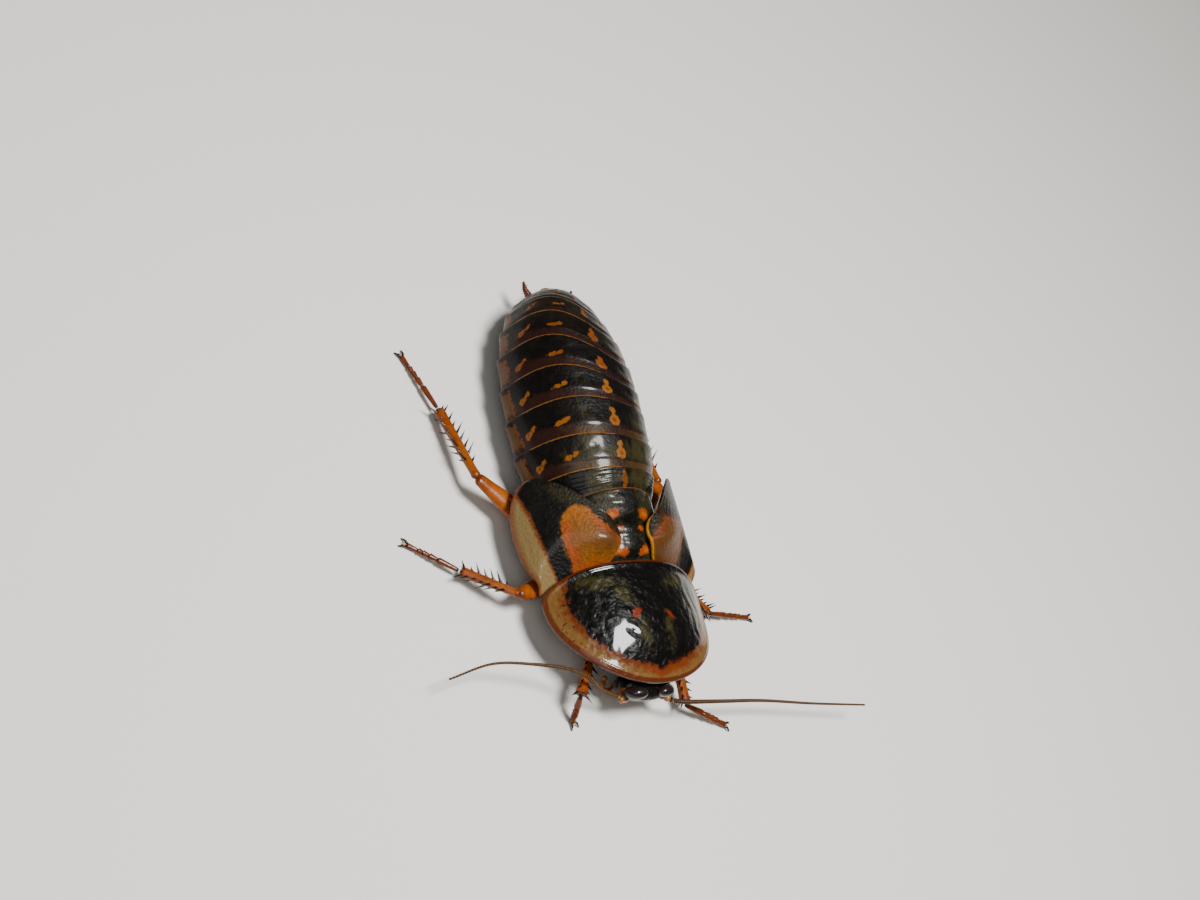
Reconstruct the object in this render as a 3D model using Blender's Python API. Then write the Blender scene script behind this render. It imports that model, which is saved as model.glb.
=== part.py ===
"""Adult female dubia roach (Blaptica dubia), a still life-size model standing on its feet.

The body is measured in millimetres: +X is the animal's left, +Y runs from the front edge of
the pronotum towards the tail, +Z is up from the floor. The finished model is moved so that the
origin lies under the middle of its bounding box, on the floor.
"""
import math
import random

import bmesh
import bpy
import numpy as np
from mathutils import Matrix, Vector

MM = 0.001
GAP = 0.3
SEED = 11

# Pronotum, the shield over the head
PRONOTUM_HALF_WIDTH = 8.8
PRONOTUM_WIDEST = 8.6
PRONOTUM_LENGTH = 11.15
PRONOTUM_MARGIN_Z = 4.0
PRONOTUM_CREST_Z = 7.8
PRONOTUM_CREST_Y = 6.8
PRONOTUM_FRONT_Z = 6.1
PRONOTUM_SKEW = 0.42
PRONOTUM_REAR_DROP = 0.3
PRONOTUM_CENTRE_Y = 6.2
PRONOTUM_THICKNESS = 0.55
PRONOTUM_MIDDLE_EXTRA = 0.25
PRONOTUM_BEAD = 0.1
PRONOTUM_LEVELS = (0.0, 0.2, 0.4, 0.58, 0.74, 0.87, 0.95, 1.0)
PRONOTUM_SIDES = 40

# Short wing pads
WING_THICKNESS = 0.5
WING_OUTER_Z = 3.25
WING_HALF_WIDTH = 9.7
WING_CREST_Z = 9.0
WING_TUCK = 0.22
WING_BASE_SLOPE = 1.1
WING_OUTER_SLOPE = 0.65
WING_TIP_DROP = 0.1
WING_INNER_DIP = 0.7
WING_ROWS = 13
WING_COLUMNS = 21
VEIN_HEIGHT = 0.12
VEIN_WIDTH = 0.035
WING_OUTER_EDGE = (
    (8.55, 9.7), (9.35, 11.3), (9.65, 13.0), (9.75, 14.7), (9.75, 16.3),
    (9.6, 17.9), (9.3, 19.1), (8.8, 19.95), (8.2, 20.3))
WING_INNER_EDGE = (
    (2.5, 11.4), (1.95, 12.2), (1.62, 13.1), (1.62, 14.0), (2.05, 14.9),
    (3.0, 15.7), (4.3, 17.1), (5.8, 18.7), (7.6, 20.2))
# Where each vein starts at the base and ends at the far edge, as shares of the wing's width
WING_VEINS = ((0.30, 0.12), (0.42, 0.38), (0.52, 0.62), (0.60, 0.86))

# Thorax rings: place along the body, half width, margin height, height, belly drop and ridge
THORAX_RIDGE_WIDTH = 1.25
THORAX_ARCH_POWER = 0.8
BODY_SIDES = 32
THORAX_RINGS = {
    "prothorax": (
        (2.7, 2.2, 4.9, 0.8, 1.0, 0.0),
        (4.2, 3.6, 4.5, 1.7, 1.2, 0.0),
        (6.5, 4.9, 4.1, 2.2, 1.2, 0.0),
        (8.6, 5.6, 3.8, 2.2, 1.0, 0.0)),
    "mesothorax": (
        (8.9, 5.6, 3.5, 2.0, 0.8, 0.0),
        (10.6, 6.0, 3.3, 2.3, 0.6, 0.0),
        (11.35, 6.2, 3.3, 2.6, 0.6, 0.3),
        (11.75, 6.1, 3.2, 2.8, 0.5, 1.1),
        (12.6, 6.2, 3.2, 3.5, 0.5, 1.1),
        (14.0, 6.3, 3.2, 4.0, 0.5, 1.0),
        (14.3, 6.2, 3.2, 4.05, 0.5, 0.95)),
    "metathorax": (
        (14.6, 6.4, 3.3, 4.2, 0.6, 0.8),
        (15.4, 6.4, 3.3, 4.6, 0.6, 0.6),
        (16.4, 6.3, 3.3, 5.1, 0.6, 0.3),
        (17.2, 6.0, 3.3, 5.4, 0.6, 0.1),
        (17.4, 5.8, 3.3, 5.3, 0.6, 0.1)),
}

# Abdomen
ABDOMEN_START = 17.7
ABDOMEN_END = 41.3
ABDOMEN_WIDEST = 24.8
ABDOMEN_HALF_WIDTH = 7.4
ABDOMEN_HEIGHT = 6.65
ABDOMEN_MARGIN_Z = 3.2
ABDOMEN_RISE = 0.55
ABDOMEN_BELLY_DROP = 1.9
ABDOMEN_NARROWING = 1.3
TERGITE_STEP = 0.2
TERGITE_LAP = 0.06
TERGITE_REARS = (20.0, 23.2, 26.6, 30.0, 33.4, 36.3, 38.3, 39.6, 40.4)
# Closing rows behind the last plate: place along the body and growth
ABDOMEN_TIP_ROWS = ((40.6, -0.15), (40.95, -0.12), (41.2, -0.1))
# The tail end swings to the animal's left by this many radians per millimetre, between two places
SWING = 0.0081
SWING_START = 21.0
SWING_END = 37.0
# Where the rims of the plates lie ahead of their level: place, amount on the middle line, slant to the left
RIM_CURVES = ((17.7, 0.0, 0.0), (20.0, 0.2, 0.5), (23.2, 0.3, 0.9), (26.6, 0.05, 1.2), (30.0, 0.85, 2.6),
              (33.4, 1.35, 3.2), (36.3, 1.2, 3.0), (38.3, 0.9, 2.4), (39.6, 0.5, 1.2), (41.2, 0.0, 0.0))
CERCUS_ROUTE = ((2.3, 41.1, 3.3), (2.65, 41.8, 3.35), (2.8, 42.5, 3.5))

# Feelers and legs
ANTENNA_RADIUS = 0.3
ANTENNA_TIP_RADIUS = 0.16
SCAPE_LENGTH = 0.8
SCAPE_RADII = (0.22, 0.34, 0.27)
PALP_RADIUS = 0.3
PALP_SWELL = 0.06
SPINE_RADIUS = 0.24
SPINE_TIP_RADIUS = 0.03
CLAW_RADIUS = 0.2

GLOSS_BLACK = (0.012, 0.010, 0.009)
DARK_BROWN = (0.035, 0.018, 0.010)
AMBER = (0.36, 0.11, 0.02)
RED_BROWN = (0.16, 0.035, 0.012)
TAN = (0.42, 0.20, 0.07)
EYE_BROWN = (0.03, 0.012, 0.012)


def vec(values):
    """Array of floats from a tuple."""
    return np.array(values, dtype=float)


def unit(v):
    """The same direction with length one."""
    return v / np.linalg.norm(v)


def ease(value, start, end):
    """Smooth rise from 0 at start to 1 at end."""
    t = min(1.0, max(0.0, (value - start) / (end - start)))
    return t * t * (3 - 2 * t)


def make_material(name, colour, roughness):
    """Principled material of one sub-part."""
    mat = bpy.data.materials.new(name)
    mat.use_nodes = True
    shader = mat.node_tree.nodes["Principled BSDF"]
    shader.inputs["Base Color"].default_value = (*colour, 1.0)
    shader.inputs["Roughness"].default_value = roughness
    shader.inputs["Metallic"].default_value = 0.0
    return mat


def mesh_from(name, verts, faces):
    """Mesh from points in millimetres, with its faces turned outwards."""
    mesh = bpy.data.meshes.new(name)
    mesh.from_pydata([tuple(float(c) for c in p) for p in verts], [], faces)
    bm = bmesh.new()
    bm.from_mesh(mesh)
    bmesh.ops.recalc_face_normals(bm, faces=bm.faces)
    if bm.calc_volume(signed=True) < 0:
        bmesh.ops.reverse_faces(bm, faces=bm.faces)
    bm.to_mesh(mesh)
    bm.free()
    return mesh


def add_object(name, mesh, material, collection):
    """Places a mesh in the collection as one named node with its material."""
    obj = bpy.data.objects.new(name, mesh)
    mesh.materials.clear()
    mesh.materials.append(material)
    mesh.shade_smooth()
    mesh.set_sharp_from_angle(angle=math.radians(40.0))
    collection.objects.link(obj)
    return obj


def loft(rings):
    """Closed body through a stack of rings with the same number of points, ends filled by fans."""
    rings = np.asarray(rings, dtype=float)
    rows, count = rings.shape[:2]
    verts = list(rings.reshape(-1, 3))
    faces = []
    for r in range(rows - 1):
        for k in range(count):
            n = (k + 1) % count
            faces.append((r * count + k, r * count + n, (r + 1) * count + n, (r + 1) * count + k))
    for row, turn in ((0, -1), (rows - 1, 1)):
        middle = len(verts)
        verts.append(rings[row].mean(axis=0))
        for k in range(count):
            n = (k + 1) % count
            pair = (row * count + k, row * count + n)
            faces.append((*pair[::turn], middle))
    return verts, faces


def frame_along(direction, up):
    """Side and top unit vectors of a section across a direction."""
    side = np.cross(direction, up)
    if np.linalg.norm(side) < 1e-6:
        side = np.cross(direction, vec((1, 0, 0)))
    side = unit(side)
    return side, unit(np.cross(side, direction))


def tube_rings(path, radii, sides, flatten=1.0, up=(0, 0, 1)):
    """Elliptical rings along a path; flatten is thickness across divided by height."""
    path = np.asarray(path, dtype=float)
    rings = []
    turn = math.pi / sides
    for i, centre in enumerate(path):
        tangent = unit(path[min(i + 1, len(path) - 1)] - path[max(i - 1, 0)])
        side, top = frame_along(tangent, vec(up))
        ring = []
        for k in range(sides):
            a = turn + 2 * math.pi * k / sides
            ring.append(centre + radii[i] * (flatten * math.cos(a) * side + math.sin(a) * top))
        rings.append(ring)
    return rings


def smooth_path(points, steps):
    """Catmull-Rom curve through a few guide points."""
    pts = [vec(p) for p in points]
    pts = [2 * pts[0] - pts[1], *pts, 2 * pts[-1] - pts[-2]]
    out = []
    for i in range(1, len(pts) - 2):
        for s in range(steps):
            t = s / steps
            a, b, c, d = pts[i - 1:i + 3]
            out.append(0.5 * (2 * b + (c - a) * t + (2 * a - 5 * b + 4 * c - d) * t * t
                              + (3 * b - a - 3 * c + d) * t ** 3))
    out.append(pts[-2])
    return np.array(out)


def cone(root, tip, radius, tip_radius, sides=4):
    """Closed tapered spine from its root to its tip."""
    root, tip = vec(root), vec(tip)
    return loft(tube_rings([root, tip], [radius, tip_radius], sides))


def curved_cone(points, radius, tip_radius, sides=5, steps=2):
    """Closed cone that bends through a few points."""
    path = smooth_path(points, steps)
    radii = np.linspace(radius, tip_radius, len(path))
    return loft(tube_rings(path, radii, sides))


def keep_largest(mesh):
    """Drops every closed surface but the largest."""
    bm = bmesh.new()
    bm.from_mesh(mesh)
    left = set(bm.verts)
    groups = []
    while left:
        stack = [left.pop()]
        group = set(stack)
        while stack:
            for edge in stack.pop().link_edges:
                for v in edge.verts:
                    if v not in group:
                        group.add(v)
                        left.discard(v)
                        stack.append(v)
        groups.append(group)
    groups.sort(key=lambda g: -max((a.co - b.co).length for a in list(g)[:1] for b in g) * len(g))
    for group in groups[1:]:
        bmesh.ops.delete(bm, geom=list(group), context="VERTS")
    bmesh.ops.triangulate(bm, faces=bm.faces)
    bm.to_mesh(mesh)
    bm.free()


def fuse(name, pieces, material, collection):
    """One node from several closed pieces, joined by one Boolean union."""
    body = add_object(name, mesh_from(name, *pieces[0]), material, collection)
    if len(pieces) == 1:
        return body
    extra = bpy.data.collections.new(name + "_pieces")
    bpy.context.scene.collection.children.link(extra)
    for i, piece in enumerate(pieces[1:]):
        add_object(f"{name}_piece{i}", mesh_from(f"{name}_piece{i}", *piece), material, extra)
    union = body.modifiers.new("Union", "BOOLEAN")
    union.operation = "UNION"
    union.operand_type = "COLLECTION"
    union.collection = extra
    union.solver = "EXACT"
    graph = bpy.context.evaluated_depsgraph_get()
    joined = bpy.data.meshes.new_from_object(body.evaluated_get(graph))
    body.modifiers.remove(union)
    body.data = joined
    for obj in list(extra.objects):
        bpy.data.objects.remove(obj)
    bpy.data.collections.remove(extra)
    keep_largest(joined)
    joined.shade_smooth()
    joined.set_sharp_from_angle(angle=math.radians(40.0))
    return body


def cut_away(obj, verts, faces):
    """Takes a closed shape out of a node, for a socket or a recess."""
    tool = bpy.data.objects.new(obj.name + "_cutter", mesh_from("cutter", verts, faces))
    bpy.context.scene.collection.objects.link(tool)
    cut = obj.modifiers.new("Cut", "BOOLEAN")
    cut.operation = "DIFFERENCE"
    cut.object = tool
    cut.solver = "EXACT"
    graph = bpy.context.evaluated_depsgraph_get()
    obj.data = bpy.data.meshes.new_from_object(obj.evaluated_get(graph))
    obj.modifiers.remove(cut)
    bpy.data.objects.remove(tool)
    keep_largest(obj.data)


# Heights of the back

def pronotum_crest(y):
    """Height of the pronotum's middle line."""
    if y < PRONOTUM_CREST_Y:
        fall = ((PRONOTUM_CREST_Y - y) / PRONOTUM_CREST_Y) ** 2.3
        return PRONOTUM_CREST_Z - (PRONOTUM_CREST_Z - PRONOTUM_FRONT_Z) * fall
    behind = (y - PRONOTUM_CREST_Y) / (PRONOTUM_LENGTH - PRONOTUM_CREST_Y)
    return PRONOTUM_CREST_Z - PRONOTUM_REAR_DROP * behind ** 2


def pronotum_top(x, y):
    """Height of the pronotum's upper face: it falls from the crest to the margin on each side."""
    s = min(1.0, abs(x) / PRONOTUM_HALF_WIDTH)
    return PRONOTUM_MARGIN_Z + (pronotum_crest(y) - PRONOTUM_MARGIN_Z) * (1 - s ** 2.2)


def pronotum_lean(y):
    """How far the front of the pronotum leans to the animal's left."""
    return PRONOTUM_SKEW * max(0.0, (PRONOTUM_CREST_Y - y) / PRONOTUM_CREST_Y)


def pronotum_rim(angle):
    """Outline point: superellipse in front of the widest line, flatter behind it."""
    c, s = math.cos(angle), math.sin(angle)
    if s < 0:
        x = PRONOTUM_HALF_WIDTH * math.copysign(abs(c) ** (2 / 2.1), c)
        return x, PRONOTUM_WIDEST * (1 - abs(s) ** (2 / 2.1))
    x = PRONOTUM_HALF_WIDTH * math.copysign(abs(c) ** (2 / 3.2), c)
    return x, PRONOTUM_WIDEST + (PRONOTUM_LENGTH - PRONOTUM_WIDEST) * abs(s) ** (2 / 2.0)


def pronotum_rear(x):
    """Where the rear edge of the pronotum lies at a distance x from the middle."""
    s = min(1.0, abs(x) / PRONOTUM_HALF_WIDTH)
    return PRONOTUM_WIDEST + (PRONOTUM_LENGTH - PRONOTUM_WIDEST) * math.sqrt(1 - s ** 3.2)


def wing_top(x, y):
    """Height of a wing pad: an arch over the thorax that dips under the rear of the pronotum."""
    s = min(1.0, abs(x) / (WING_HALF_WIDTH + 0.1))
    arch = WING_OUTER_Z + (WING_CREST_Z - WING_OUTER_Z) * (1 - s ** 2.4) ** 0.85
    rear = pronotum_rear(x)
    cover = pronotum_top(x, min(y, rear)) - PRONOTUM_THICKNESS - GAP - WING_TUCK
    slope = WING_BASE_SLOPE + (WING_OUTER_SLOPE - WING_BASE_SLOPE) * ease(abs(x), 3.0, 7.0)
    near_middle = math.exp(-((abs(x) - 1.4) / 1.3) ** 2)
    dip = WING_INNER_DIP * near_middle * ease(y, 12.0, 13.6) * (1 - ease(y, 14.6, 17.0))
    return min(arch, cover + slope * max(0.0, y - rear + 0.15)) - dip


def sheet(top, thickness):
    """Thin closed shell under a grid of points; the grid is (rows, columns, 3)."""
    rows, cols = top.shape[:2]
    under = top.copy()
    along = np.gradient(top, axis=0)
    across = np.gradient(top, axis=1)
    normal = np.cross(across, along)
    normal /= np.linalg.norm(normal, axis=2, keepdims=True) + 1e-12
    normal *= np.where(normal[..., 2:] < 0, -1.0, 1.0)
    under -= normal * thickness
    verts = [*top.reshape(-1, 3), *under.reshape(-1, 3)]
    size = rows * cols
    faces = []
    for r in range(rows - 1):
        for c in range(cols - 1):
            a, b = r * cols + c, r * cols + c + 1
            d, e = a + cols, b + cols
            faces += [(a, b, e), (a, e, d), (size + a, size + e, size + b), (size + a, size + d, size + e)]
    border = [c for c in range(cols)]
    border += [r * cols + cols - 1 for r in range(1, rows)]
    border += [(rows - 1) * cols + c for c in range(cols - 2, -1, -1)]
    border += [r * cols for r in range(rows - 2, 0, -1)]
    for i, a in enumerate(border):
        b = border[(i + 1) % len(border)]
        faces.append((b, a, a + size, b + size))
    return verts, faces


def make_pronotum(collection):
    """Domed shield with a low rim bead, made as a disc of rings and closed underneath."""
    around, levels = PRONOTUM_SIDES, PRONOTUM_LEVELS
    verts = []
    for under in (0, 1):
        for level in levels:
            for k in range(around if level else 1):
                x, y = pronotum_rim(2 * math.pi * k / around)
                px = level * x
                py = PRONOTUM_CENTRE_Y + level * (y - PRONOTUM_CENTRE_Y)
                drop = under * (PRONOTUM_THICKNESS + PRONOTUM_MIDDLE_EXTRA * (1 - level))
                bead = PRONOTUM_BEAD if level == levels[-2] and not under else 0.0
                verts.append((px + pronotum_lean(py), py, pronotum_top(px, py) + bead - drop))
    half = len(verts) // 2
    faces = []
    for base, turn in ((0, 1), (half, -1)):
        for k in range(around):
            n = (k + 1) % around
            faces.append((base, base + 1 + k, base + 1 + n)[::turn])
            for level in range(len(levels) - 2):
                a = base + 1 + level * around
                b = a + around
                faces.append((a + k, b + k, b + n)[::turn])
                faces.append((a + k, b + n, a + n)[::turn])
    last = 1 + (len(levels) - 2) * around
    for k in range(around):
        n = (k + 1) % around
        faces.append((last + k, half + last + k, half + last + n, last + n))
    material = make_material("pronotum_shell", GLOSS_BLACK, 0.2)
    return add_object("pronotum", mesh_from("pronotum", verts, faces), material, collection)


def wing_plan(u, v):
    """Plan point of a left wing pad; u runs from its inner to its outer edge, v from base to tip."""
    outer = smooth_path(WING_OUTER_EDGE, 6)
    inner = smooth_path(WING_INNER_EDGE, 6)
    step = v * (len(outer) - 1)
    low = min(int(step), len(outer) - 2)
    t = step - low
    a = outer[low] * (1 - t) + outer[low + 1] * t
    b = inner[low] * (1 - t) + inner[low + 1] * t
    return b * (1 - u) + a * u


def wing_vein(u, v):
    """Height of the raised veins: branches that fan out from the base to the outer and rear edges."""
    height = 0.0
    for start, end in WING_VEINS:
        line = start + (end - start) * v ** 0.8
        height = max(height, math.exp(-((u - line) / VEIN_WIDTH) ** 2))
    return VEIN_HEIGHT * height


def make_wing(side, collection):
    """One wing pad, side 1 for the left and -1 for the right."""
    top = np.zeros((WING_ROWS, WING_COLUMNS, 3))
    for i in range(WING_ROWS):
        v = i / (WING_ROWS - 1)
        for j in range(WING_COLUMNS):
            u = j / (WING_COLUMNS - 1)
            x, y = wing_plan(u, v)
            z = wing_top(x, y) + wing_vein(u, v) - WING_TIP_DROP * v ** 3
            top[i, j] = (side * x, y, z)
    name = "tegmen_left" if side > 0 else "tegmen_right"
    material = make_material(name + "_shell", AMBER if side < 0 else DARK_BROWN, 0.35)
    return add_object(name, mesh_from(name, *sheet(top, WING_THICKNESS)), material, collection)


def body_section(half_width, margin_z, height, belly, count, power=0.62, ridge=0.0):
    """Ring of (x, z) round the trunk: an arched back, with a ridge along it, over a shallow belly."""
    ring = []
    for k in range(count):
        a = 2 * math.pi * (k + 0.5) / count
        c, s = math.cos(a), math.sin(a)
        if s >= 0:
            u = math.copysign(abs(c) ** 0.86, c)
            z = margin_z + height * max(0.0, 1 - abs(u) ** 2.2) ** power
            z += ridge * math.exp(-(half_width * u / THORAX_RIDGE_WIDTH) ** 4)
        else:
            u = math.copysign(abs(c) ** 0.7, c)
            z = margin_z - belly * abs(s) ** 0.8
        ring.append((half_width * u, z))
    return ring


def swing(point):
    """Turns a point of the abdomen with its middle line, which curves to the left."""
    x, y, z = point
    steady = min(max(y, SWING_START), SWING_END) - SWING_START
    beyond = max(0.0, y - SWING_END)
    turn = SWING * steady
    middle_x = turn * steady / 2 + beyond * math.sin(turn)
    middle_y = min(y, SWING_END) - turn ** 2 * steady / 6 + beyond * math.cos(turn)
    return (middle_x + x * math.cos(turn), middle_y - x * math.sin(turn), z)


def rim_place(y, share):
    """Where a rim of level y runs at a share of the half width: ahead of it, more so on the left."""
    places, middle, slant = zip(*RIM_CURVES)
    return y - (np.interp(y, places, middle) + np.interp(y, places, slant) * share) * (1 - share ** 2)


def abdomen_half_width(y):
    """Half width of the abdomen: blunt towards the tail, pinched towards the thorax."""
    t = max(0.0, (y - ABDOMEN_WIDEST) / (ABDOMEN_END - ABDOMEN_WIDEST))
    front = ABDOMEN_NARROWING * max(0.0, (ABDOMEN_WIDEST - y) / (ABDOMEN_WIDEST - ABDOMEN_START)) ** 2
    return ABDOMEN_HALF_WIDTH * math.sqrt(max(0.0, 1 - min(1.0, t) ** 3.2)) - front


def make_abdomen(collection):
    """Stepped body of overlapping plates, each rear edge standing over the next plate."""
    rows = []
    start = ABDOMEN_START
    for rear in TERGITE_REARS:
        rows.append((start + 0.02, -TERGITE_STEP))
        rows.append((start + 0.45 * (rear - start), -0.45 * TERGITE_STEP))
        rows.append((rear - 0.25, 0.0))
        rows.append((rear, 0.02))
        start = rear + TERGITE_LAP
    rings = []
    for y, grow in (*rows, *ABDOMEN_TIP_ROWS):
        wide = abdomen_half_width(y)
        share = wide / ABDOMEN_HALF_WIDTH
        t = (y - ABDOMEN_START) / (ABDOMEN_END - ABDOMEN_START)
        margin = ABDOMEN_MARGIN_Z + ABDOMEN_RISE * t ** 1.5
        high = ABDOMEN_HEIGHT * share ** 0.95
        belly = ABDOMEN_BELLY_DROP * share ** 0.6 * min(1.0, 0.35 + 0.65 * (y - ABDOMEN_START) / 3.5)
        half = wide + grow
        section = body_section(half, margin, high + grow, belly + 0.5 * grow, BODY_SIDES)
        rings.append([swing((x, rim_place(y, x / half), z)) for x, z in section])
    material = make_material("abdomen_plates", DARK_BROWN, 0.3)
    return add_object("abdomen", mesh_from("abdomen", *loft(rings)), material, collection)


def make_thorax(collection):
    """Three rings of the thorax under the pronotum and between the wing pads."""
    for name, rows in THORAX_RINGS.items():
        rings = []
        for y, wide, margin, high, belly, ridge in rows:
            section = body_section(wide, margin, high, belly, BODY_SIDES, THORAX_ARCH_POWER, ridge)
            rings.append([(x, y, z) for x, z in section])
        material = make_material(name + "_plates", GLOSS_BLACK, 0.3)
        add_object(name, mesh_from(name, *loft(rings)), material, collection)


def make_end(collection):
    """Tail plate over the abdomen's tip, and the two cerci."""
    material = make_material("tail", AMBER, 0.4)
    level, flatness = 3.4, 0.45
    path = ((0, 41.55, level), (0, 42.0, level - 0.05), (0, 42.4, level - 0.1))
    rings = tube_rings(path, (1.0, 0.85, 0.4), 10, 1.0)
    squashed = [[swing((p[0], p[1], level + flatness * (p[2] - level))) for p in ring] for ring in rings]
    add_object("tail_plate", mesh_from("tail_plate", *loft(squashed)), material, collection)
    for side, name in ((1, "cercus_left"), (-1, "cercus_right")):
        points = [swing((side * x, y, z)) for x, y, z in CERCUS_ROUTE]
        piece = curved_cone(points, 0.36, 0.1, 8, 3)
        add_object(name, mesh_from(name, *piece), material, collection)


# Head

HEAD_TOP = vec((0, -0.15, 4.75))
HEAD_DOWN = unit(vec((0, 0.50, -0.87)))
HEAD_OUT = vec((0, -HEAD_DOWN[2], HEAD_DOWN[1])) * -1.0
# Distance down the face, half width, half depth and forward lean of the capsule
HEAD_OUTLINE = ((0.0, 1.3, 0.7, 0.0), (0.35, 2.1, 1.15, 0.0), (1.0, 2.75, 1.4, 0.02), (1.9, 2.8, 1.5, 0.05),
                (2.8, 2.2, 1.4, 0.1), (3.5, 1.6, 1.15, 0.15), (3.9, 1.25, 0.9, 0.15))
JAW_ROUTE = ((1.05, 3.3, 0.1), (1.05, 4.1, 0.1), (0.35, 4.6, 0.0))
FEELER_SOCKET = (2.35, 1.35, 1.0)
SOCKET_RADIUS = 0.62
EYE_CENTRE = vec((1.7, -0.35, 4.3))
EYE_LEAN = 58
EYE_RADII = (0.75, 0.62, 1.15)


def head_point(across, down, out):
    """Point in the head's own axes: across to the left, down the face, out of the face."""
    return HEAD_TOP + vec((across, 0, 0)) + HEAD_DOWN * down + HEAD_OUT * out


def ellipsoid(centre, radii, sides=14, rows=8, axes=((1, 0, 0), (0, 1, 0), (0, 0, 1))):
    """Closed ellipsoid of rings from pole to pole, with its poles on the last axis."""
    rings = []
    for r in range(1, rows):
        a = math.pi * r / rows
        ring = []
        for k in range(sides):
            b = 2 * math.pi * k / sides
            round_point = (math.sin(a) * math.cos(b), math.sin(a) * math.sin(b), math.cos(a))
            ring.append(centre + sum(r * p * vec(axis) for r, p, axis in zip(radii, round_point, axes)))
        rings.append(ring)
    return loft(rings)


def make_head(collection):
    """Capsule that hangs under the shield, face forward and mouth down, with lip, jaws and eyes."""
    rings = []
    for down, wide, deep, out in HEAD_OUTLINE:
        ring = []
        for k in range(20):
            a = 2 * math.pi * k / 20
            ring.append(head_point(wide * math.cos(a), down, out + deep * math.sin(a)))
        rings.append(ring)
    lip_rings = []
    for down, wide, deep in ((3.6, 0.85, 0.5), (4.25, 0.9, 0.5), (4.75, 0.55, 0.3)):
        lip_rings.append([head_point(wide * math.cos(a), down, 0.55 + deep * math.sin(a))
                          for a in (2 * math.pi * k / 10 for k in range(10))])
    pieces = [loft(rings), loft(lip_rings)]
    for side in (1, -1):
        jaw = [head_point(side * across, down, out) for across, down, out in JAW_ROUTE]
        pieces.append(curved_cone(jaw, 0.5, 0.2, 6, 2))
    material = make_material("head_shell", GLOSS_BLACK, 0.2)
    head = fuse("head", pieces, material, collection)
    lean = math.radians(EYE_LEAN)
    for side, name in ((1, "eye_left"), (-1, "eye_right")):
        centre = EYE_CENTRE * vec((side, 1, 1))
        room = [r + GAP for r in EYE_RADII]
        long_axis = unit(math.cos(lean) * HEAD_DOWN + math.sin(lean) * vec((side, 0, 0)))
        axes = (np.cross(HEAD_OUT, long_axis), HEAD_OUT, long_axis)
        cut_away(head, *ellipsoid(centre, room, 16, 8, axes))
        eye = ellipsoid(centre, EYE_RADII, 14, 8, axes)
        add_object(name, mesh_from(name, *eye), make_material(name + "_lens", EYE_BROWN, 0.1), collection)
    for side in (1, -1):
        across, down, out = FEELER_SOCKET
        socket = head_point(side * across, down, out)
        cut_away(head, *ellipsoid(socket, (SOCKET_RADIUS, SOCKET_RADIUS, SOCKET_RADIUS), 12, 6))


# Guide points of each feeler's first joint and whip, and of each palp
FEELER_ROUTES = {
    "left": ((2.35, -0.6, 3.05), (3.0, -1.0, 3.2), (4.5, -1.4, 3.5), (9.0, -1.6, 3.3),
             (14.0, -1.85, 3.1), (20.0, -2.55, 3.0), (26.5, -3.3, 3.3)),
    "right": ((-2.35, -0.6, 3.05), (-2.95, -0.4, 3.3), (-5.0, 0.35, 3.8), (-6.35, 1.15, 4.5),
              (-8.3, 2.2, 4.5), (-11.6, 3.1, 4.0), (-15.5, 3.6, 3.4), (-20.0, 2.6, 3.1)),
}
PALP_ROUTES = {
    "left": ((2.0, 1.3, 1.25), (2.6, 0.8, 1.1), (3.0, 1.1, 0.9), (3.1, 1.9, 0.8)),
    "right": ((-2.0, 1.2, 1.25), (-2.7, 0.9, 1.35), (-3.15, 1.3, 1.65), (-2.8, 2.2, 2.05)),
}


def make_feelers(collection):
    """Antennae with a scape each, and the jointed palps beside the mouth."""
    shell = make_material("feeler_shell", DARK_BROWN, 0.4)
    pale = make_material("palp_shell", TAN, 0.4)
    for side, route in FEELER_ROUTES.items():
        first = unit(vec(route[1]) - vec(route[0]))
        scape_end = vec(route[0]) + first * SCAPE_LENGTH
        scape_path = (vec(route[0]), vec(route[0]) + first * SCAPE_LENGTH / 2, scape_end)
        scape = loft(tube_rings(scape_path, SCAPE_RADII, 8))
        add_object("antenna_base_" + side, mesh_from("scape", *scape), shell, collection)
        path = smooth_path((scape_end + first * GAP, *route[2:]), 7)
        radii = ANTENNA_RADIUS + (ANTENNA_TIP_RADIUS - ANTENNA_RADIUS) * np.linspace(0, 1, len(path)) ** 0.8
        whip = mesh_from("flagellum", *loft(tube_rings(path, radii, 6)))
        add_object("antenna_" + side, whip, shell, collection)
    for side, route in PALP_ROUTES.items():
        path = smooth_path(route, 4)
        radii = [PALP_RADIUS + PALP_SWELL * math.cos(0.55 * math.pi * i) for i in range(len(path))]
        add_object("palps_" + side, mesh_from("palps", *loft(tube_rings(path, radii, 8))), pale, collection)


# Legs: hip, trochanter, knee, ankle and claw of each, in the photographed pose

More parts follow.
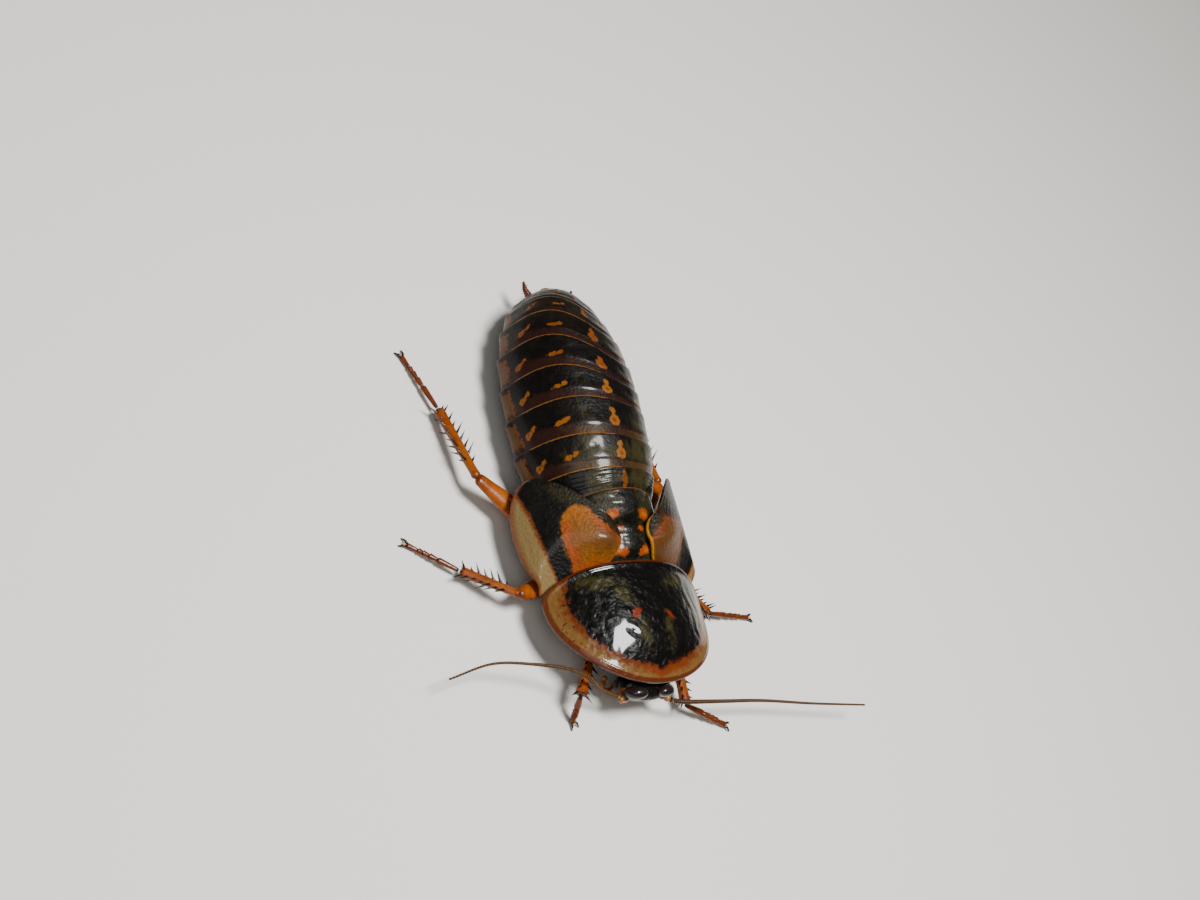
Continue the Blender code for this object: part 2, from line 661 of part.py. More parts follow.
LEGS = {
    "front_left": (
        (1.3, 4.9, 2.2), (3.45, 8.4, 1.4), (5.0, 3.5, 3.1), (5.85, -1.1, 1.5), (10.8, -3.0, 0.0)),
    "front_right": (
        (-1.3, 4.9, 2.2), (-3.6, 8.45, 1.4), (-4.8, 3.7, 3.2), (-6.85, 0.1, 3.0), (-6.4, -1.3, 0.0)),
    "middle_left": (
        (1.6, 9.7, 1.75), (4.6, 11.8, 1.4), (8.7, 10.2, 2.4), (12.1, 7.95, 1.1), (17.6, 7.6, 0.0)),
    "middle_right": (
        (-1.6, 9.7, 1.75), (-4.6, 11.8, 1.4), (-10.5, 10.15, 2.9), (-14.95, 13.4, 1.0), (-19.2, 16.3, 0.0)),
    "hind_left": (
        (1.7, 13.3, 1.75), (5.0, 16.3, 1.4), (9.6, 21.3, 2.3), (8.9, 29.3, 0.95), (9.2, 35.0, 0.0)),
    "hind_right": (
        (-1.7, 13.3, 1.75), (-5.0, 16.3, 1.4), (-11.8, 21.7, 2.9), (-12.95, 29.8, 1.0), (-14.95, 35.5, 0.0)),
}
# Coxa, femur, tibia and tarsus radii, and the number of spine rows along the tibia
LEG_SIZES = {
    "front": (0.55, 0.74, 0.42, 0.3, 4),
    "middle": (0.66, 0.95, 0.45, 0.3, 5),
    "hind": (0.7, 1.1, 0.5, 0.3, 6),
}
FEMUR_SHAPE = ((0.0, 0.45), (0.08, 0.75), (0.3, 1.0), (0.55, 0.95), (0.8, 0.75), (0.95, 0.62), (1.0, 0.4))
COXA_SHAPE = ((0.0, 0.75), (0.12, 1.0), (0.45, 1.05), (0.8, 0.75), (1.0, 0.45))
COXA_BREADTH = 1.75
TIBIA_SHAPE = ((0.0, 0.6), (0.06, 0.95), (0.3, 0.9), (0.7, 1.0), (0.95, 1.15), (1.0, 0.7))
TIBIA_FLATNESS = 0.9
SPINE_LENGTH = 1.25
SPINE_LEAN = 0.75
TARSUS_JOINTS = (0.0, 0.42, 0.58, 0.70, 0.80, 1.0)
CLAW_REACH = 0.8


def limb(a, b, radius, shape, sides, flatten=0.7):
    """Straight segment from a to b with a radius profile along it."""
    a, b = vec(a), vec(b)
    path = [a + (b - a) * t for t, _ in shape]
    return loft(tube_rings(path, [radius * r for _, r in shape], sides, flatten))


def shorten(a, b, start, end):
    """The stretch from a to b with a length cut off at each end."""
    a, b = vec(a), vec(b)
    d = unit(b - a)
    return a + d * start, b - d * end


def tibia_spines(a, b, radius, rows, rng):
    """Spines in three rows along the tibia and a crown of four at its end."""
    axis = unit(b - a)
    side, top = frame_along(axis, vec((0, 0, 1)))
    length = np.linalg.norm(b - a)
    spots = []
    for k in range(rows):
        t = 0.22 + 0.62 * k / max(1, rows - 1)
        for angle in (35.0, 150.0, 255.0):
            spots.append((t + rng.uniform(-0.03, 0.03), angle + rng.uniform(-12, 12), rng.uniform(0.9, 1.15)))
    spots += [(0.92, angle, 1.2) for angle in (15.0, 80.0, 165.0, 330.0)]
    pieces = []
    for t, angle, long in spots:
        out = side * math.cos(math.radians(angle)) + top * math.sin(math.radians(angle))
        root = a + axis * (t * length) + out * radius * 0.2
        tip = root + unit(out + SPINE_LEAN * axis) * long * SPINE_LENGTH
        pieces.append(cone(root, tip, SPINE_RADIUS, SPINE_TIP_RADIUS))
    return pieces


def tarsus_pieces(ankle, claw, radius):
    """Five short segments swelling at their ends, a sole pad on the floor and two hooked claws."""
    low = vec((claw[0], claw[1], radius * 0.8))
    ahead = unit(claw - ankle) * vec((1, 1, 0))
    end = low - unit(ahead) * 0.75
    middle = ankle * 0.45 + end * 0.55
    middle[2] = max(radius * 0.9, middle[2] * 0.75)
    path = smooth_path((ankle, middle, end), 6)
    radii = []
    for t in np.linspace(0, 1, len(path)):
        k = max(i for i in range(len(TARSUS_JOINTS) - 1) if t >= TARSUS_JOINTS[i] - 1e-9)
        local = (t - TARSUS_JOINTS[k]) / (TARSUS_JOINTS[k + 1] - TARSUS_JOINTS[k])
        radii.append(radius * (0.74 + 0.3 * local ** 2))
    across = unit(np.cross(ahead, vec((0, 0, 1))))
    pieces = [loft(tube_rings(path, radii, 7, up=across))]
    pad = (end - unit(ahead) * 0.35, end + unit(ahead) * 0.15, end + unit(ahead) * 0.5)
    pieces.append(loft(tube_rings(pad, (0.22, 0.36, 0.24), 7)))
    for s in (1, -1):
        root = end - unit(ahead) * 0.15 + across * s * 0.1 + vec((0, 0, 0.05))
        bend = end + unit(ahead) * 0.45 + across * s * 0.38 + vec((0, 0, 0.2))
        tip = end + unit(ahead) * CLAW_REACH + across * s * 0.45 - vec((0, 0, 0.12))
        tip[2] = max(tip[2], 0.06)
        pieces.append(curved_cone((root, bend, tip), CLAW_RADIUS, 0.04, 5, 2))
    return pieces


def box_under_floor(claw):
    """Block below the floor level, which leaves a small flat under each foot."""
    x, y = claw[0], claw[1]
    reach, depth = 12.0, 3.0
    corners = ((-reach, -reach), (reach, -reach), (reach, reach), (-reach, reach))
    return loft([[(x + dx, y + dy, z) for dx, dy in corners] for z in (-depth, 0.0)])


def make_legs(collection):
    """Six legs of four nodes each, with the seeded scatter of the spines."""
    amber = make_material("leg_amber", AMBER, 0.25)
    red = make_material("leg_red", RED_BROWN, 0.3)
    rng = random.Random(SEED)
    for name, (hip, troch, knee, ankle, claw) in LEGS.items():
        coxa_r, femur_r, tibia_r, tarsus_r, rows = LEG_SIZES[name.split("_")[0]]
        hip, troch, knee, ankle, claw = (vec(p) for p in (hip, troch, knee, ankle, claw))
        a, b = shorten(hip, troch, 0.0, 0.5)
        coxa = limb(a, b, coxa_r, COXA_SHAPE, 10, COXA_BREADTH)
        add_object("coxa_" + name, mesh_from("coxa", *coxa), amber, collection)
        a, b = shorten(troch, knee, 1.05, 0.15)
        femur = limb(a, b, femur_r, FEMUR_SHAPE, 12)
        add_object("femur_" + name, mesh_from("femur", *femur), amber, collection)
        a, b = shorten(knee, ankle, 0.3, 0.15)
        shin = [limb(a, b, tibia_r, TIBIA_SHAPE, 8, TIBIA_FLATNESS)]
        fuse("tibia_" + name, shin + tibia_spines(a, b, tibia_r, rows, rng), red, collection)
        a, _ = shorten(ankle, claw, 0.35, 0.0)
        foot = fuse("tarsus_" + name, tarsus_pieces(a, claw, tarsus_r), red, collection)
        cut_away(foot, *box_under_floor(claw))


def centre_on_floor(collection):
    """Moves the model so that its origin is under the middle of its box, and turns it to metres."""
    points = np.array([v.co for obj in collection.objects for v in obj.data.vertices])
    low, high = points.min(axis=0), points.max(axis=0)
    shift = Matrix.Translation(Vector((-(low[0] + high[0]) / 2, -(low[1] + high[1]) / 2, -low[2])))
    for obj in collection.objects:
        obj.data.transform(Matrix.Scale(MM, 4) @ shift)


def main():
    """Builds the whole animal from head to feet."""
    for obj in list(bpy.data.objects):
        bpy.data.objects.remove(obj)
    collection = bpy.data.collections.new("dubia_roach")
    bpy.context.scene.collection.children.link(collection)
    make_pronotum(collection)
    for side in (1, -1):
        make_wing(side, collection)
    make_thorax(collection)
    make_abdomen(collection)
    make_end(collection)
    make_head(collection)
    make_feelers(collection)
    make_legs(collection)
    centre_on_floor(collection)


main()
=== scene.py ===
import logging
import math
from dataclasses import dataclass, field
from enum import Enum

import bpy
import numpy as np
from mathutils import Matrix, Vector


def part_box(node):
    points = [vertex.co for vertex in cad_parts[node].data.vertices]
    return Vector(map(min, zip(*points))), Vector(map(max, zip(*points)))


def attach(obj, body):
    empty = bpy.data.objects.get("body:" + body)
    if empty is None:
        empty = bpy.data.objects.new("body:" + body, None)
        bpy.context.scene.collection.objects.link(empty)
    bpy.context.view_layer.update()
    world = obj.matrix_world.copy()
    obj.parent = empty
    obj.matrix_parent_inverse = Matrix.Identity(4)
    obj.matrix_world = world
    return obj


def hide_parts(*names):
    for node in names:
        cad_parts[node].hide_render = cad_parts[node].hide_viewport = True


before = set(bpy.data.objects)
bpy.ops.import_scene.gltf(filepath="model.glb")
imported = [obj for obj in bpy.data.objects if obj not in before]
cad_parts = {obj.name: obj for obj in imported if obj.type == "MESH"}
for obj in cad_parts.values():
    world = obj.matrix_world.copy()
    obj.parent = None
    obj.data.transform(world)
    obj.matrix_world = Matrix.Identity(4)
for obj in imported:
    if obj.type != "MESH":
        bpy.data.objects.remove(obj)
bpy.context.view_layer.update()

LOG = logging.getLogger("dubia_roach")

MM = 0.001                 # all shapes are worked out in millimetres and set down in metres
GAP = 0.3                  # film between neighbouring plates, mm
LEFT, RIGHT = 1, -1        # the animal's own left is +X, its head looks along -Y
SIDE_NAMES = {LEFT: "left", RIGHT: "right"}
FAR = -9.0                 # a point this far outside a mark takes none of its colour, mm
ON_BELLY = 99.0            # stands for the way round to a point of the belly, mm

CHITIN_IOR = 1.5
WAX_IOR = 1.4
GLOW_COLOUR = (1.0, 0.45, 0.2)   # how far red, green and blue light spread inside amber cuticle
GLOW_DEPTH = 0.6           # mm

Array = np.ndarray
Points = np.ndarray        # the last axis is x, y, z in body millimetres
Marks = dict[str, np.ndarray]
Tree = bpy.types.NodeTree
Socket = bpy.types.NodeSocket


# Small numeric helpers

def body_origin() -> Points:
    """Finds the floor point below the middle of the shield's front edge, in millimetres."""
    low, high = (np.array(corner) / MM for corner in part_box("pronotum"))
    return np.array([(low[0] + high[0]) / 2, low[1], 0.0])


def ease(value: Array, start: float, end: float) -> Array:
    """Rises smoothly from 0 at start to 1 at end, as 3t squared less 2t cubed.

    Args:
        value: the numbers to ease.
        start: where the rise begins.
        end: where it is complete.

    Returns:
        The eased numbers, between 0 and 1.
    """
    t = np.clip((value - start) / (end - start), 0.0, 1.0)
    return t * t * (3 - 2 * t)


def unit(vector: Array) -> Array:
    """Returns vectors of length one, along the last axis."""
    return vector / np.maximum(np.linalg.norm(vector, axis=-1, keepdims=True), 1e-9)


def level_side(ahead: Points) -> Points:
    """Gives the level direction square to a direction."""
    return unit(np.cross(ahead, (0, 0, 1.0)))


def upwards(height: float) -> Points:
    """Gives a step straight up."""
    return np.array((0.0, 0.0, height))


def keep_above(grid: Points, height: float) -> Points:
    """Lifts the points that lie below a height up to it, so that a piece rests on the floor."""
    return np.concatenate([grid[..., :2], np.maximum(grid[..., 2:], height)], axis=-1)


def shares(count: int) -> Array:
    """Gives count even steps from 0 to 1."""
    return np.linspace(0, 1, count)


def turns(count: int) -> Array:
    """Gives count even angles round a full circle."""
    return np.linspace(0, 2 * math.pi, count, endpoint=False)


def signed_power(value: Array, power: float) -> Array:
    """Raises a number's size to a power and keeps its sign, for superellipses."""
    return np.sign(value) * np.abs(value) ** power


def curve_through(points: list | tuple, count: int) -> Points:
    """Runs a smooth Catmull-Rom curve through a few points.

    Each stretch is the cubic whose slope at a point is half the step between its neighbours.

    Args:
        points: the points to pass through, any number of coordinates each.
        count: how many points to return, at even steps from the first to the last.

    Returns:
        An array of count points.
    """
    knots = np.array(points, dtype=float)
    padded = np.vstack([2 * knots[0] - knots[1], knots, 2 * knots[-1] - knots[-2]])
    place = np.linspace(0, len(knots) - 1, count)
    index = np.minimum(place.astype(int), len(knots) - 2)
    t = (place - index)[:, None]
    before, start, end, after = (padded[index + shift] for shift in range(4))
    return 0.5 * (2 * start + (end - before) * t + (2 * before - 5 * start + 4 * end - after) * t ** 2
                  + (3 * start - before - 3 * end + after) * t ** 3)


def even_steps(path: Points, count: int) -> Points:
    """Resamples a path so that its points lie at even distances along it."""
    steps = np.linalg.norm(np.diff(path, axis=0), axis=1)
    along = np.concatenate([[0.0], np.cumsum(steps)])
    places = np.linspace(0, along[-1], count)
    return np.stack([np.interp(places, along, path[:, axis]) for axis in range(3)], axis=1)


def profile(table: tuple, places: Array, column: int = 1) -> Array:
    """Reads one column of a small table of sizes at many places, along a smooth curve."""
    fine = curve_through(table, 40 * len(table))
    return np.interp(places, fine[:, 0], fine[:, column])


def ellipse_field(x: Array, y: Array, centre: tuple, half: tuple, turn: float = 0.0) -> Array:
    """Measures how far inside an ellipse each point lies.

    The value is (1 - r) times the smaller half axis, with r the point's radius in units of the ellipse.

    Args:
        x: first plan coordinate, mm.
        y: second plan coordinate, mm.
        centre: the ellipse's middle.
        half: its two half axes.
        turn: how far its first axis is turned from x towards y, in degrees.

    Returns:
        Roughly millimetres inside the ellipse, negative outside.
    """
    c, s = math.cos(math.radians(turn)), math.sin(math.radians(turn))
    across = (x - centre[0]) * c + (y - centre[1]) * s
    along = (y - centre[1]) * c - (x - centre[0]) * s
    return (1 - np.sqrt((across / half[0]) ** 2 + (along / half[1]) ** 2)) * min(half)


def outline_field(x: Array, y: Array, outline: tuple) -> Array:
    """Measures how far inside a closed smooth outline each point lies.

    The distance is to the nearest of the outline's short edges, and it counts as positive where
    a line from the point towards +x crosses an odd number of them.

    Args:
        x: first plan coordinate, mm.
        y: second plan coordinate, mm.
        outline: a few points round the shape, in order, the last one next to the first.

    Returns:
        Millimetres inside the outline, negative outside.
    """
    knots = np.array((*outline[-2:], *outline, *outline[:3]), dtype=float)
    fine = curve_through(knots, 6 * (len(knots) - 1) + 1)[12:-12]
    nearest = np.full(x.shape, 1e9)
    inside = np.zeros(x.shape, dtype=bool)
    for (ax, ay), (bx, by) in zip(fine[:-1], fine[1:]):
        edge_x, edge_y = bx - ax, by - ay
        along = np.clip(((x - ax) * edge_x + (y - ay) * edge_y) / (edge_x ** 2 + edge_y ** 2 + 1e-12), 0, 1)
        nearest = np.minimum(nearest, np.hypot(x - ax - along * edge_x, y - ay - along * edge_y))
        if ay != by:
            inside ^= ((ay > y) != (by > y)) & (x < ax + (y - ay) / (by - ay) * edge_x)
    return np.where(inside, nearest, -nearest)


def widest_of(*fields: Array) -> Array:
    """Joins several inside-distances into one shape."""
    return np.maximum.reduce(fields)


def ellipses_field(x: Array, y: Array, shapes: tuple) -> Array:
    """Measures how far inside any of several ellipses each point lies.

    Args:
        x: first plan coordinate, mm.
        y: second plan coordinate, mm.
        shapes: centre, half axes and turn of each ellipse, as for ellipse_field.

    Returns:
        Roughly millimetres inside the nearest of them, negative outside.
    """
    return widest_of(np.full(x.shape, FAR), *(ellipse_field(x, y, *shape) for shape in shapes))


def tube_grid(path: Points, radii: Array, sides: int, flat: float = 1.0,
              up: tuple = (0.0, 0.0, 1.0)) -> Points:
    """Carries an ellipse along a path.

    Ring i is path[i] + radius * (cos(a) * side + sin(a) * flat * top), with side square to
    the path and to the up direction.

    Args:
        path: the tube's middle line.
        radii: its half width at each point of the path.
        sides: points around a ring.
        flat: the rings' height as a share of their width.
        up: the direction that the rings' top leans to.

    Returns:
        A grid of rings, first to last.
    """
    ahead = unit(np.gradient(path, axis=0))
    side = unit(np.cross(ahead, np.array(up, dtype=float)))
    top = np.cross(side, ahead)
    angle = turns(sides)
    ring = (np.cos(angle)[None, :, None] * side[:, None, :]
            + flat * np.sin(angle)[None, :, None] * top[:, None, :])
    return path[:, None, :] + np.asarray(radii)[:, None, None] * ring


def ball_grid(centre: tuple, axes: Points, radii: tuple, rows: int = 24, columns: int = 32) -> Points:
    """Makes an ellipsoid as rings from one pole to the other.

    Args:
        centre: its middle.
        axes: three unit directions, the poles on the last.
        radii: its half size along each direction.
        rows: rings from pole to pole.
        columns: points around a ring.

    Returns:
        A grid of rings.
    """
    lean = np.linspace(0, math.pi, rows + 2)[1:-1, None]
    turn = turns(columns)[None, :]
    local = np.stack([radii[0] * np.sin(lean) * np.cos(turn), radii[1] * np.sin(lean) * np.sin(turn),
                      radii[2] * np.cos(lean) * np.ones_like(turn)], axis=-1)
    return np.array(centre) + local @ np.array(axes, dtype=float)


# Finishes

def linear(hex_colour: str) -> tuple[float, float, float, float]:
    """Turns an sRGB hex colour into the linear colour that a shader takes."""
    parts = [int(hex_colour[place:place + 2], 16) / 255 for place in (0, 2, 4)]
    return tuple(v / 12.92 if v <= 0.04045 else ((v + 0.055) / 1.055) ** 2.4 for v in parts) + (1.0,)


def add_node(tree: Tree, kind: str, inputs: dict | None = None, output: int | str = 0,
             **settings) -> Socket:
    """Adds one shader node, sets its options and fills or links its sockets.

    Args:
        tree: the node tree.
        kind: the node's type name.
        inputs: socket name or number to a value, or to the output that feeds it.
        output: the socket to return.
        **settings: the node's own options.

    Returns:
        One of the node's outputs.
    """
    node = tree.nodes.new(kind)
    for option, value in settings.items():
        setattr(node, option, value)
    for socket, value in (inputs or {}).items():
        if isinstance(value, Socket):
            tree.links.new(value, node.inputs[socket])
        else:
            node.inputs[socket].default_value = value
    return node.outputs[output]


class Grain(Enum):
    """How the edge of a pigment breaks up."""
    CLOUD = "cloud"        # soft clouds, as pigment under clear cuticle
    STREAK = "streak"      # drawn out along the body, as muscle scars on a tergite
    FLECK = "fleck"        # small round flecks


@dataclass(frozen=True)
class Pigment:
    """A colour laid inside one of a piece's own marks.

    The mark is a number on each point, millimetres inside the pigment's outline.
    """
    mark: str
    colour: str
    soft: float                # half width of its edge, mm
    wobble: float              # how far noise moves the edge, mm
    cell: float                # size of that noise, mm
    strength: float = 1.0
    grain: Grain = Grain.CLOUD


@dataclass(frozen=True)
class Cuticle:
    """Insect cuticle: hardened chitin under a clear waxy layer, which gives a sharp coat of gloss.

    Pits where fine hairs root and the leathery folds between them break that gloss into sparkle.
    """
    name: str
    base: str
    pigments: tuple[Pigment, ...] = ()
    shade: str = "000000"      # second colour that drifts into the base
    drift: float = 0.5         # how much of it shows
    drift_cell: float = 1.6    # size of that drift, mm
    roughness: float = 0.34
    sheen: float = 0.18        # how much the cuticle below the wax reflects
    gloss: float = 0.5         # weight of the clear wax
    haze: float = 0.16         # roughness of the wax
    pit: float = 0.22          # spacing of the pits, mm
    pit_depth: float = 0.010   # mm
    fold: float = 0.9          # size of the leathery folds, mm
    fold_depth: float = 0.02   # mm
    fold_detail: float = 6.0   # how many finer folds lie on each
    glow: float = 0.0          # share of light that passes into the cuticle

    def material(self) -> bpy.types.Material:
        """Builds the finish as shader nodes, once for all the pieces that wear it."""
        if self.name in bpy.data.materials:
            return bpy.data.materials[self.name]
        material = bpy.data.materials.new(self.name)
        material.use_nodes = True
        tree = material.node_tree
        tree.nodes.clear()
        place = add_node(tree, "ShaderNodeTexCoord", output="Object")
        colour = self.lay_pigments(tree, place)
        shader = add_node(tree, "ShaderNodeBsdfPrincipled", {
            "Base Color": colour,
            "Roughness": self.worn_roughness(tree, place),
            "Normal": self.relief(tree, place),
            "IOR": CHITIN_IOR,
            "Specular IOR Level": self.sheen,
            "Coat Weight": self.gloss,
            "Coat Roughness": self.haze,
            "Coat IOR": WAX_IOR,
            "Subsurface Weight": self.glow,
            "Subsurface Radius": GLOW_COLOUR,
            "Subsurface Scale": GLOW_DEPTH * MM,
        })
        tree.links.new(shader, tree.nodes.new("ShaderNodeOutputMaterial").inputs["Surface"])
        return material

    def lay_pigments(self, tree: Tree, place: Socket) -> Socket:
        """Lays the pigments over the base, each inside its own wobbly outline.

        Args:
            tree: the finish's node tree.
            place: the object coordinates.

        Returns:
            The colour.
        """
        cloud = add_node(tree, "ShaderNodeTexNoise", {"Vector": place, "Scale": 1 / (self.drift_cell * MM),
                                                      "Detail": 4.0, "Roughness": 0.62})
        amount = add_node(tree, "ShaderNodeMapRange", {"Value": cloud, "From Min": 0.42, "From Max": 0.72,
                                                       "To Max": self.drift}, interpolation_type="SMOOTHSTEP")
        colour = add_node(tree, "ShaderNodeMix", {0: amount, 6: linear(self.base), 7: linear(self.shade)},
                          output=2, data_type="RGBA")
        for number, pigment in enumerate(self.pigments):
            mark = add_node(tree, "ShaderNodeAttribute", output="Fac", attribute_name=pigment.mark)
            stretch = (1.0, 0.28, 1.0) if pigment.grain is Grain.STREAK else (1.0, 1.0, 1.0)
            moved = add_node(tree, "ShaderNodeMapping", {"Vector": place, "Location": (0.0017 * number, 0, 0),
                                                         "Scale": stretch})
            noise = add_node(tree, "ShaderNodeTexNoise", {
                "Vector": moved, "Scale": 1 / (pigment.cell * MM),
                "Detail": 1.0 if pigment.grain is Grain.FLECK else 4.0, "Roughness": 0.6})
            shift = add_node(tree, "ShaderNodeMapRange", {"Value": noise, "To Min": -2.2 * pigment.wobble,
                                                          "To Max": 2.2 * pigment.wobble}, clamp=False)
            inside = add_node(tree, "ShaderNodeMath", {0: mark, 1: shift}, operation="ADD")
            cover = add_node(tree, "ShaderNodeMapRange", {
                "Value": inside, "From Min": -pigment.soft, "From Max": pigment.soft,
                "To Max": pigment.strength}, interpolation_type="SMOOTHSTEP")
            colour = add_node(tree, "ShaderNodeMix", {0: cover, 6: colour, 7: linear(pigment.colour)},
                              output=2, data_type="RGBA")
        return colour

    def worn_roughness(self, tree: Tree, place: Socket) -> Socket:
        """Varies the roughness by about a quarter, as handled and dusty cuticle does."""
        dust = add_node(tree, "ShaderNodeTexNoise", {"Vector": place, "Scale": 1 / (0.7 * MM), "Detail": 5.0})
        return add_node(tree, "ShaderNodeMapRange", {"Value": dust, "From Min": 0.3, "From Max": 0.7,
                                                     "To Min": self.roughness * 0.8,
                                                     "To Max": self.roughness * 1.3})

    def relief(self, tree: Tree, place: Socket) -> Socket:
        """Presses the pits and the folds into the surface.

        Returns:
            The normal.
        """
        pits = add_node(tree, "ShaderNodeTexVoronoi", {"Vector": place, "Scale": 1 / (self.pit * MM)},
                        feature="SMOOTH_F1")
        folds = add_node(tree, "ShaderNodeTexNoise", {"Vector": place, "Scale": 1 / (self.fold * MM),
                                                      "Detail": self.fold_detail, "Roughness": 0.6})
        broad = add_node(tree, "ShaderNodeBump", {"Height": folds, "Distance": self.fold_depth * MM})
        return add_node(tree, "ShaderNodeBump", {"Height": pits, "Distance": self.pit_depth * MM,
                                                 "Normal": broad})


# Each pigment's row gives its mark and colour, the half width of its edge, how far the edge wavers
# and the size of the waver, all in mm, and its strength.

# The shield wears black glossy cuticle; its flange is thin and lets light through, so it looks tan.
SHIELD_CHITIN = Cuticle(
    "shield_black_cuticle", "060504", shade="0E0C07", drift=0.6, roughness=0.34, sheen=0.08, gloss=0.65,
    haze=0.07, pit=0.24, pit_depth=0.012, fold=0.85, fold_depth=0.2, fold_detail=1.8,
    pigments=(
        Pigment("olive", "302B12", 0.45, 0.6, 0.5, 0.85),
        Pigment("margin", "54260C", 0.16, 0.32, 0.6),
        Pigment("flange", "624822", 0.4, 0.45, 0.6, 0.8),
        Pigment("ember", "62280C", 0.3, 0.3, 0.5, 0.75),
        Pigment("fleck", "1C1006", 0.05, 0.5, 0.42, 0.8, grain=Grain.FLECK),
        Pigment("rim", "4A1C08", 0.1, 0.05, 0.5, 0.9),
        Pigment("spot", "5E1E06", 0.1, 0.14, 0.3),
    ))

# The wing stubs are leathery fore wings: pitted all over, so their gloss is a broken satin.
WING_CHITIN = Cuticle(
    "wing_leathery_cuticle", "090806", shade="14130C", roughness=0.45, sheen=0.12, gloss=0.3,
    haze=0.16, pit=0.24, pit_depth=0.06, fold=0.6, fold_depth=0.03,
    pigments=(
        Pigment("olive", "241F0F", 0.4, 0.5, 0.35, 0.85),
        Pigment("patch", "80480C", 0.22, 0.22, 0.5),
        Pigment("flush", "84320A", 0.45, 0.3, 0.5, 0.8),
        # umber: a dark brown cloud in the right wing's patch; on the left wing it covers the whole patch as
        # painted shade
        Pigment("umber", "42200A", 0.8, 0.4, 0.5, 0.85),
        Pigment("dust", "4A3212", 0.6, 0.8, 0.35, 0.6),
        Pigment("strip", "6E5A36", 0.12, 0.14, 0.35),
        Pigment("strip_edge", "6A300C", 0.08, 0.08, 0.3, 0.6),
        Pigment("edge", "70360F", 0.1, 0.05, 0.5, 0.75),
        Pigment("inner", "A8741C", 0.05, 0.03, 0.6),
    ))

# The back plates of the abdomen are black cuticle, duller than the shield, brown at their front.
TERGITE_CHITIN = Cuticle(
    "tergite_black_cuticle", "080605", shade="150D07", roughness=0.42, sheen=0.1, gloss=0.3,
    haze=0.13, pit=0.24, pit_depth=0.03, fold=0.7, fold_depth=0.05,
    pigments=(
        Pigment("olive", "2E2A11", 0.4, 0.6, 0.6, 0.75, grain=Grain.STREAK),
        Pigment("band", "24100A", 0.25, 0.25, 0.5, 0.85, grain=Grain.STREAK),
        # sheen: painted sheen, a pale brown laid on the smooth band of the first rings in place of a shine
        Pigment("sheen", "3E2E12", 0.5, 0.3, 0.9, 0.75),
        Pigment("tail", "241D12", 1.2, 0.6, 1.2, 0.7),
        Pigment("ochre", "74420F", 0.06, 0.12, 0.35),
        Pigment("russet", "5A280C", 0.06, 0.12, 0.35, 0.6),
        Pigment("core", "4A2406", 0.06, 0.14, 0.2, 0.8),
        Pigment("block", "5E3010", 0.14, 0.36, 0.4, 0.9),
        Pigment("block_core", "4E3814", 0.25, 0.35, 0.4, 0.8),
        Pigment("lip", "3A2010", 0.03, 0.04, 0.5, 0.85),
        # painted highlight: a lighter amber along the rear rims, high on the right side only
        Pigment("lip_light", "7A4E1C", 0.03, 0.05, 0.4, 0.7),
    ))

# The thorax plates between the wings are the same black cuticle with deeper wrinkles and red spots.
THORAX_CHITIN = Cuticle(
    "thorax_black_cuticle", "090806", shade="15110A", roughness=0.4, sheen=0.14, gloss=0.35,
    haze=0.12, pit=0.22, pit_depth=0.03, fold=0.5, fold_depth=0.06,
    pigments=(
        Pigment("olive", "2A2611", 0.35, 0.7, 0.35, 0.75),
        Pigment("ember", "80380A", 0.09, 0.16, 0.3),
        Pigment("core", "9A5A12", 0.08, 0.12, 0.25, 0.7),
        # lip: painted highlight, a light brown band round the rear rim of the metathorax
        Pigment("lip", "6A3A1C", 0.06, 0.04, 0.5, 0.85),
    ))

# Legs and coxae are amber cuticle that light enters, redder and darker at the joints and toes.
LEG_CHITIN = Cuticle(
    "leg_amber_cuticle", "7E3505", shade="4C1B04", drift=0.7, drift_cell=1.2, roughness=0.3, gloss=0.4,
    haze=0.09, pit=0.18, pit_depth=0.006, fold=0.5, fold_depth=0.02, glow=0.12,
    pigments=(
        Pigment("joint", "3A1304", 0.25, 0.15, 0.4, 0.8),
        Pigment("pale", "9A5412", 0.4, 0.25, 0.6, 0.6),
    ))

# The shins are thinner and redder than the thighs.
SHIN_CHITIN = Cuticle(
    "shin_red_cuticle", "7A3606", shade="401503", drift=0.7, drift_cell=0.9, roughness=0.3, gloss=0.4,
    haze=0.1, pit=0.16, pit_depth=0.006, fold=0.45, fold_depth=0.012, glow=0.1,
    pigments=(
        Pigment("joint", "2C0F04", 0.2, 0.12, 0.3, 0.8),
        Pigment("pale", "8A4A12", 0.4, 0.25, 0.5, 0.7),
    ))

# Feet and tail spikes are dark red cuticle, black at each joint.
FOOT_CHITIN = Cuticle(
    "foot_dark_red_cuticle", "5E280A", shade="2E1204", drift=0.7, drift_cell=0.7, roughness=0.3, gloss=0.4,
    haze=0.1, pit=0.16, pit_depth=0.006, fold=0.4, fold_depth=0.012, glow=0.08,
    pigments=(Pigment("joint", "260C04", 0.2, 0.12, 0.3, 0.8),))

# Spines, claws and jaws are the hardest cuticle, nearly black and polished.
SPINE_CHITIN = Cuticle(
    "spine_black_cuticle", "120A07", shade="2A1009", drift_cell=0.5, roughness=0.28, gloss=0.6,
    haze=0.12, pit=0.2, pit_depth=0.002, fold=0.4, fold_depth=0.004)

# Bristles are hollow brown hairs, too thin to show more than their colour.
BRISTLE_CHITIN = Cuticle(
    "bristle_brown_cuticle", "5A3012", shade="2A1408", drift_cell=0.6, roughness=0.35, gloss=0.3,
    pit=0.2, pit_depth=0.001, fold=0.4, fold_depth=0.002)

# The pads below the feet are soft pale skin with hardly any wax, so they are matt.
PAD_SKIN = Cuticle(
    "pad_pale_skin", "B99A66", shade="8A6A3C", drift_cell=0.3, roughness=0.55, gloss=0.1,
    haze=0.4, pit=0.1, pit_depth=0.006, fold=0.3, fold_depth=0.01, glow=0.15)

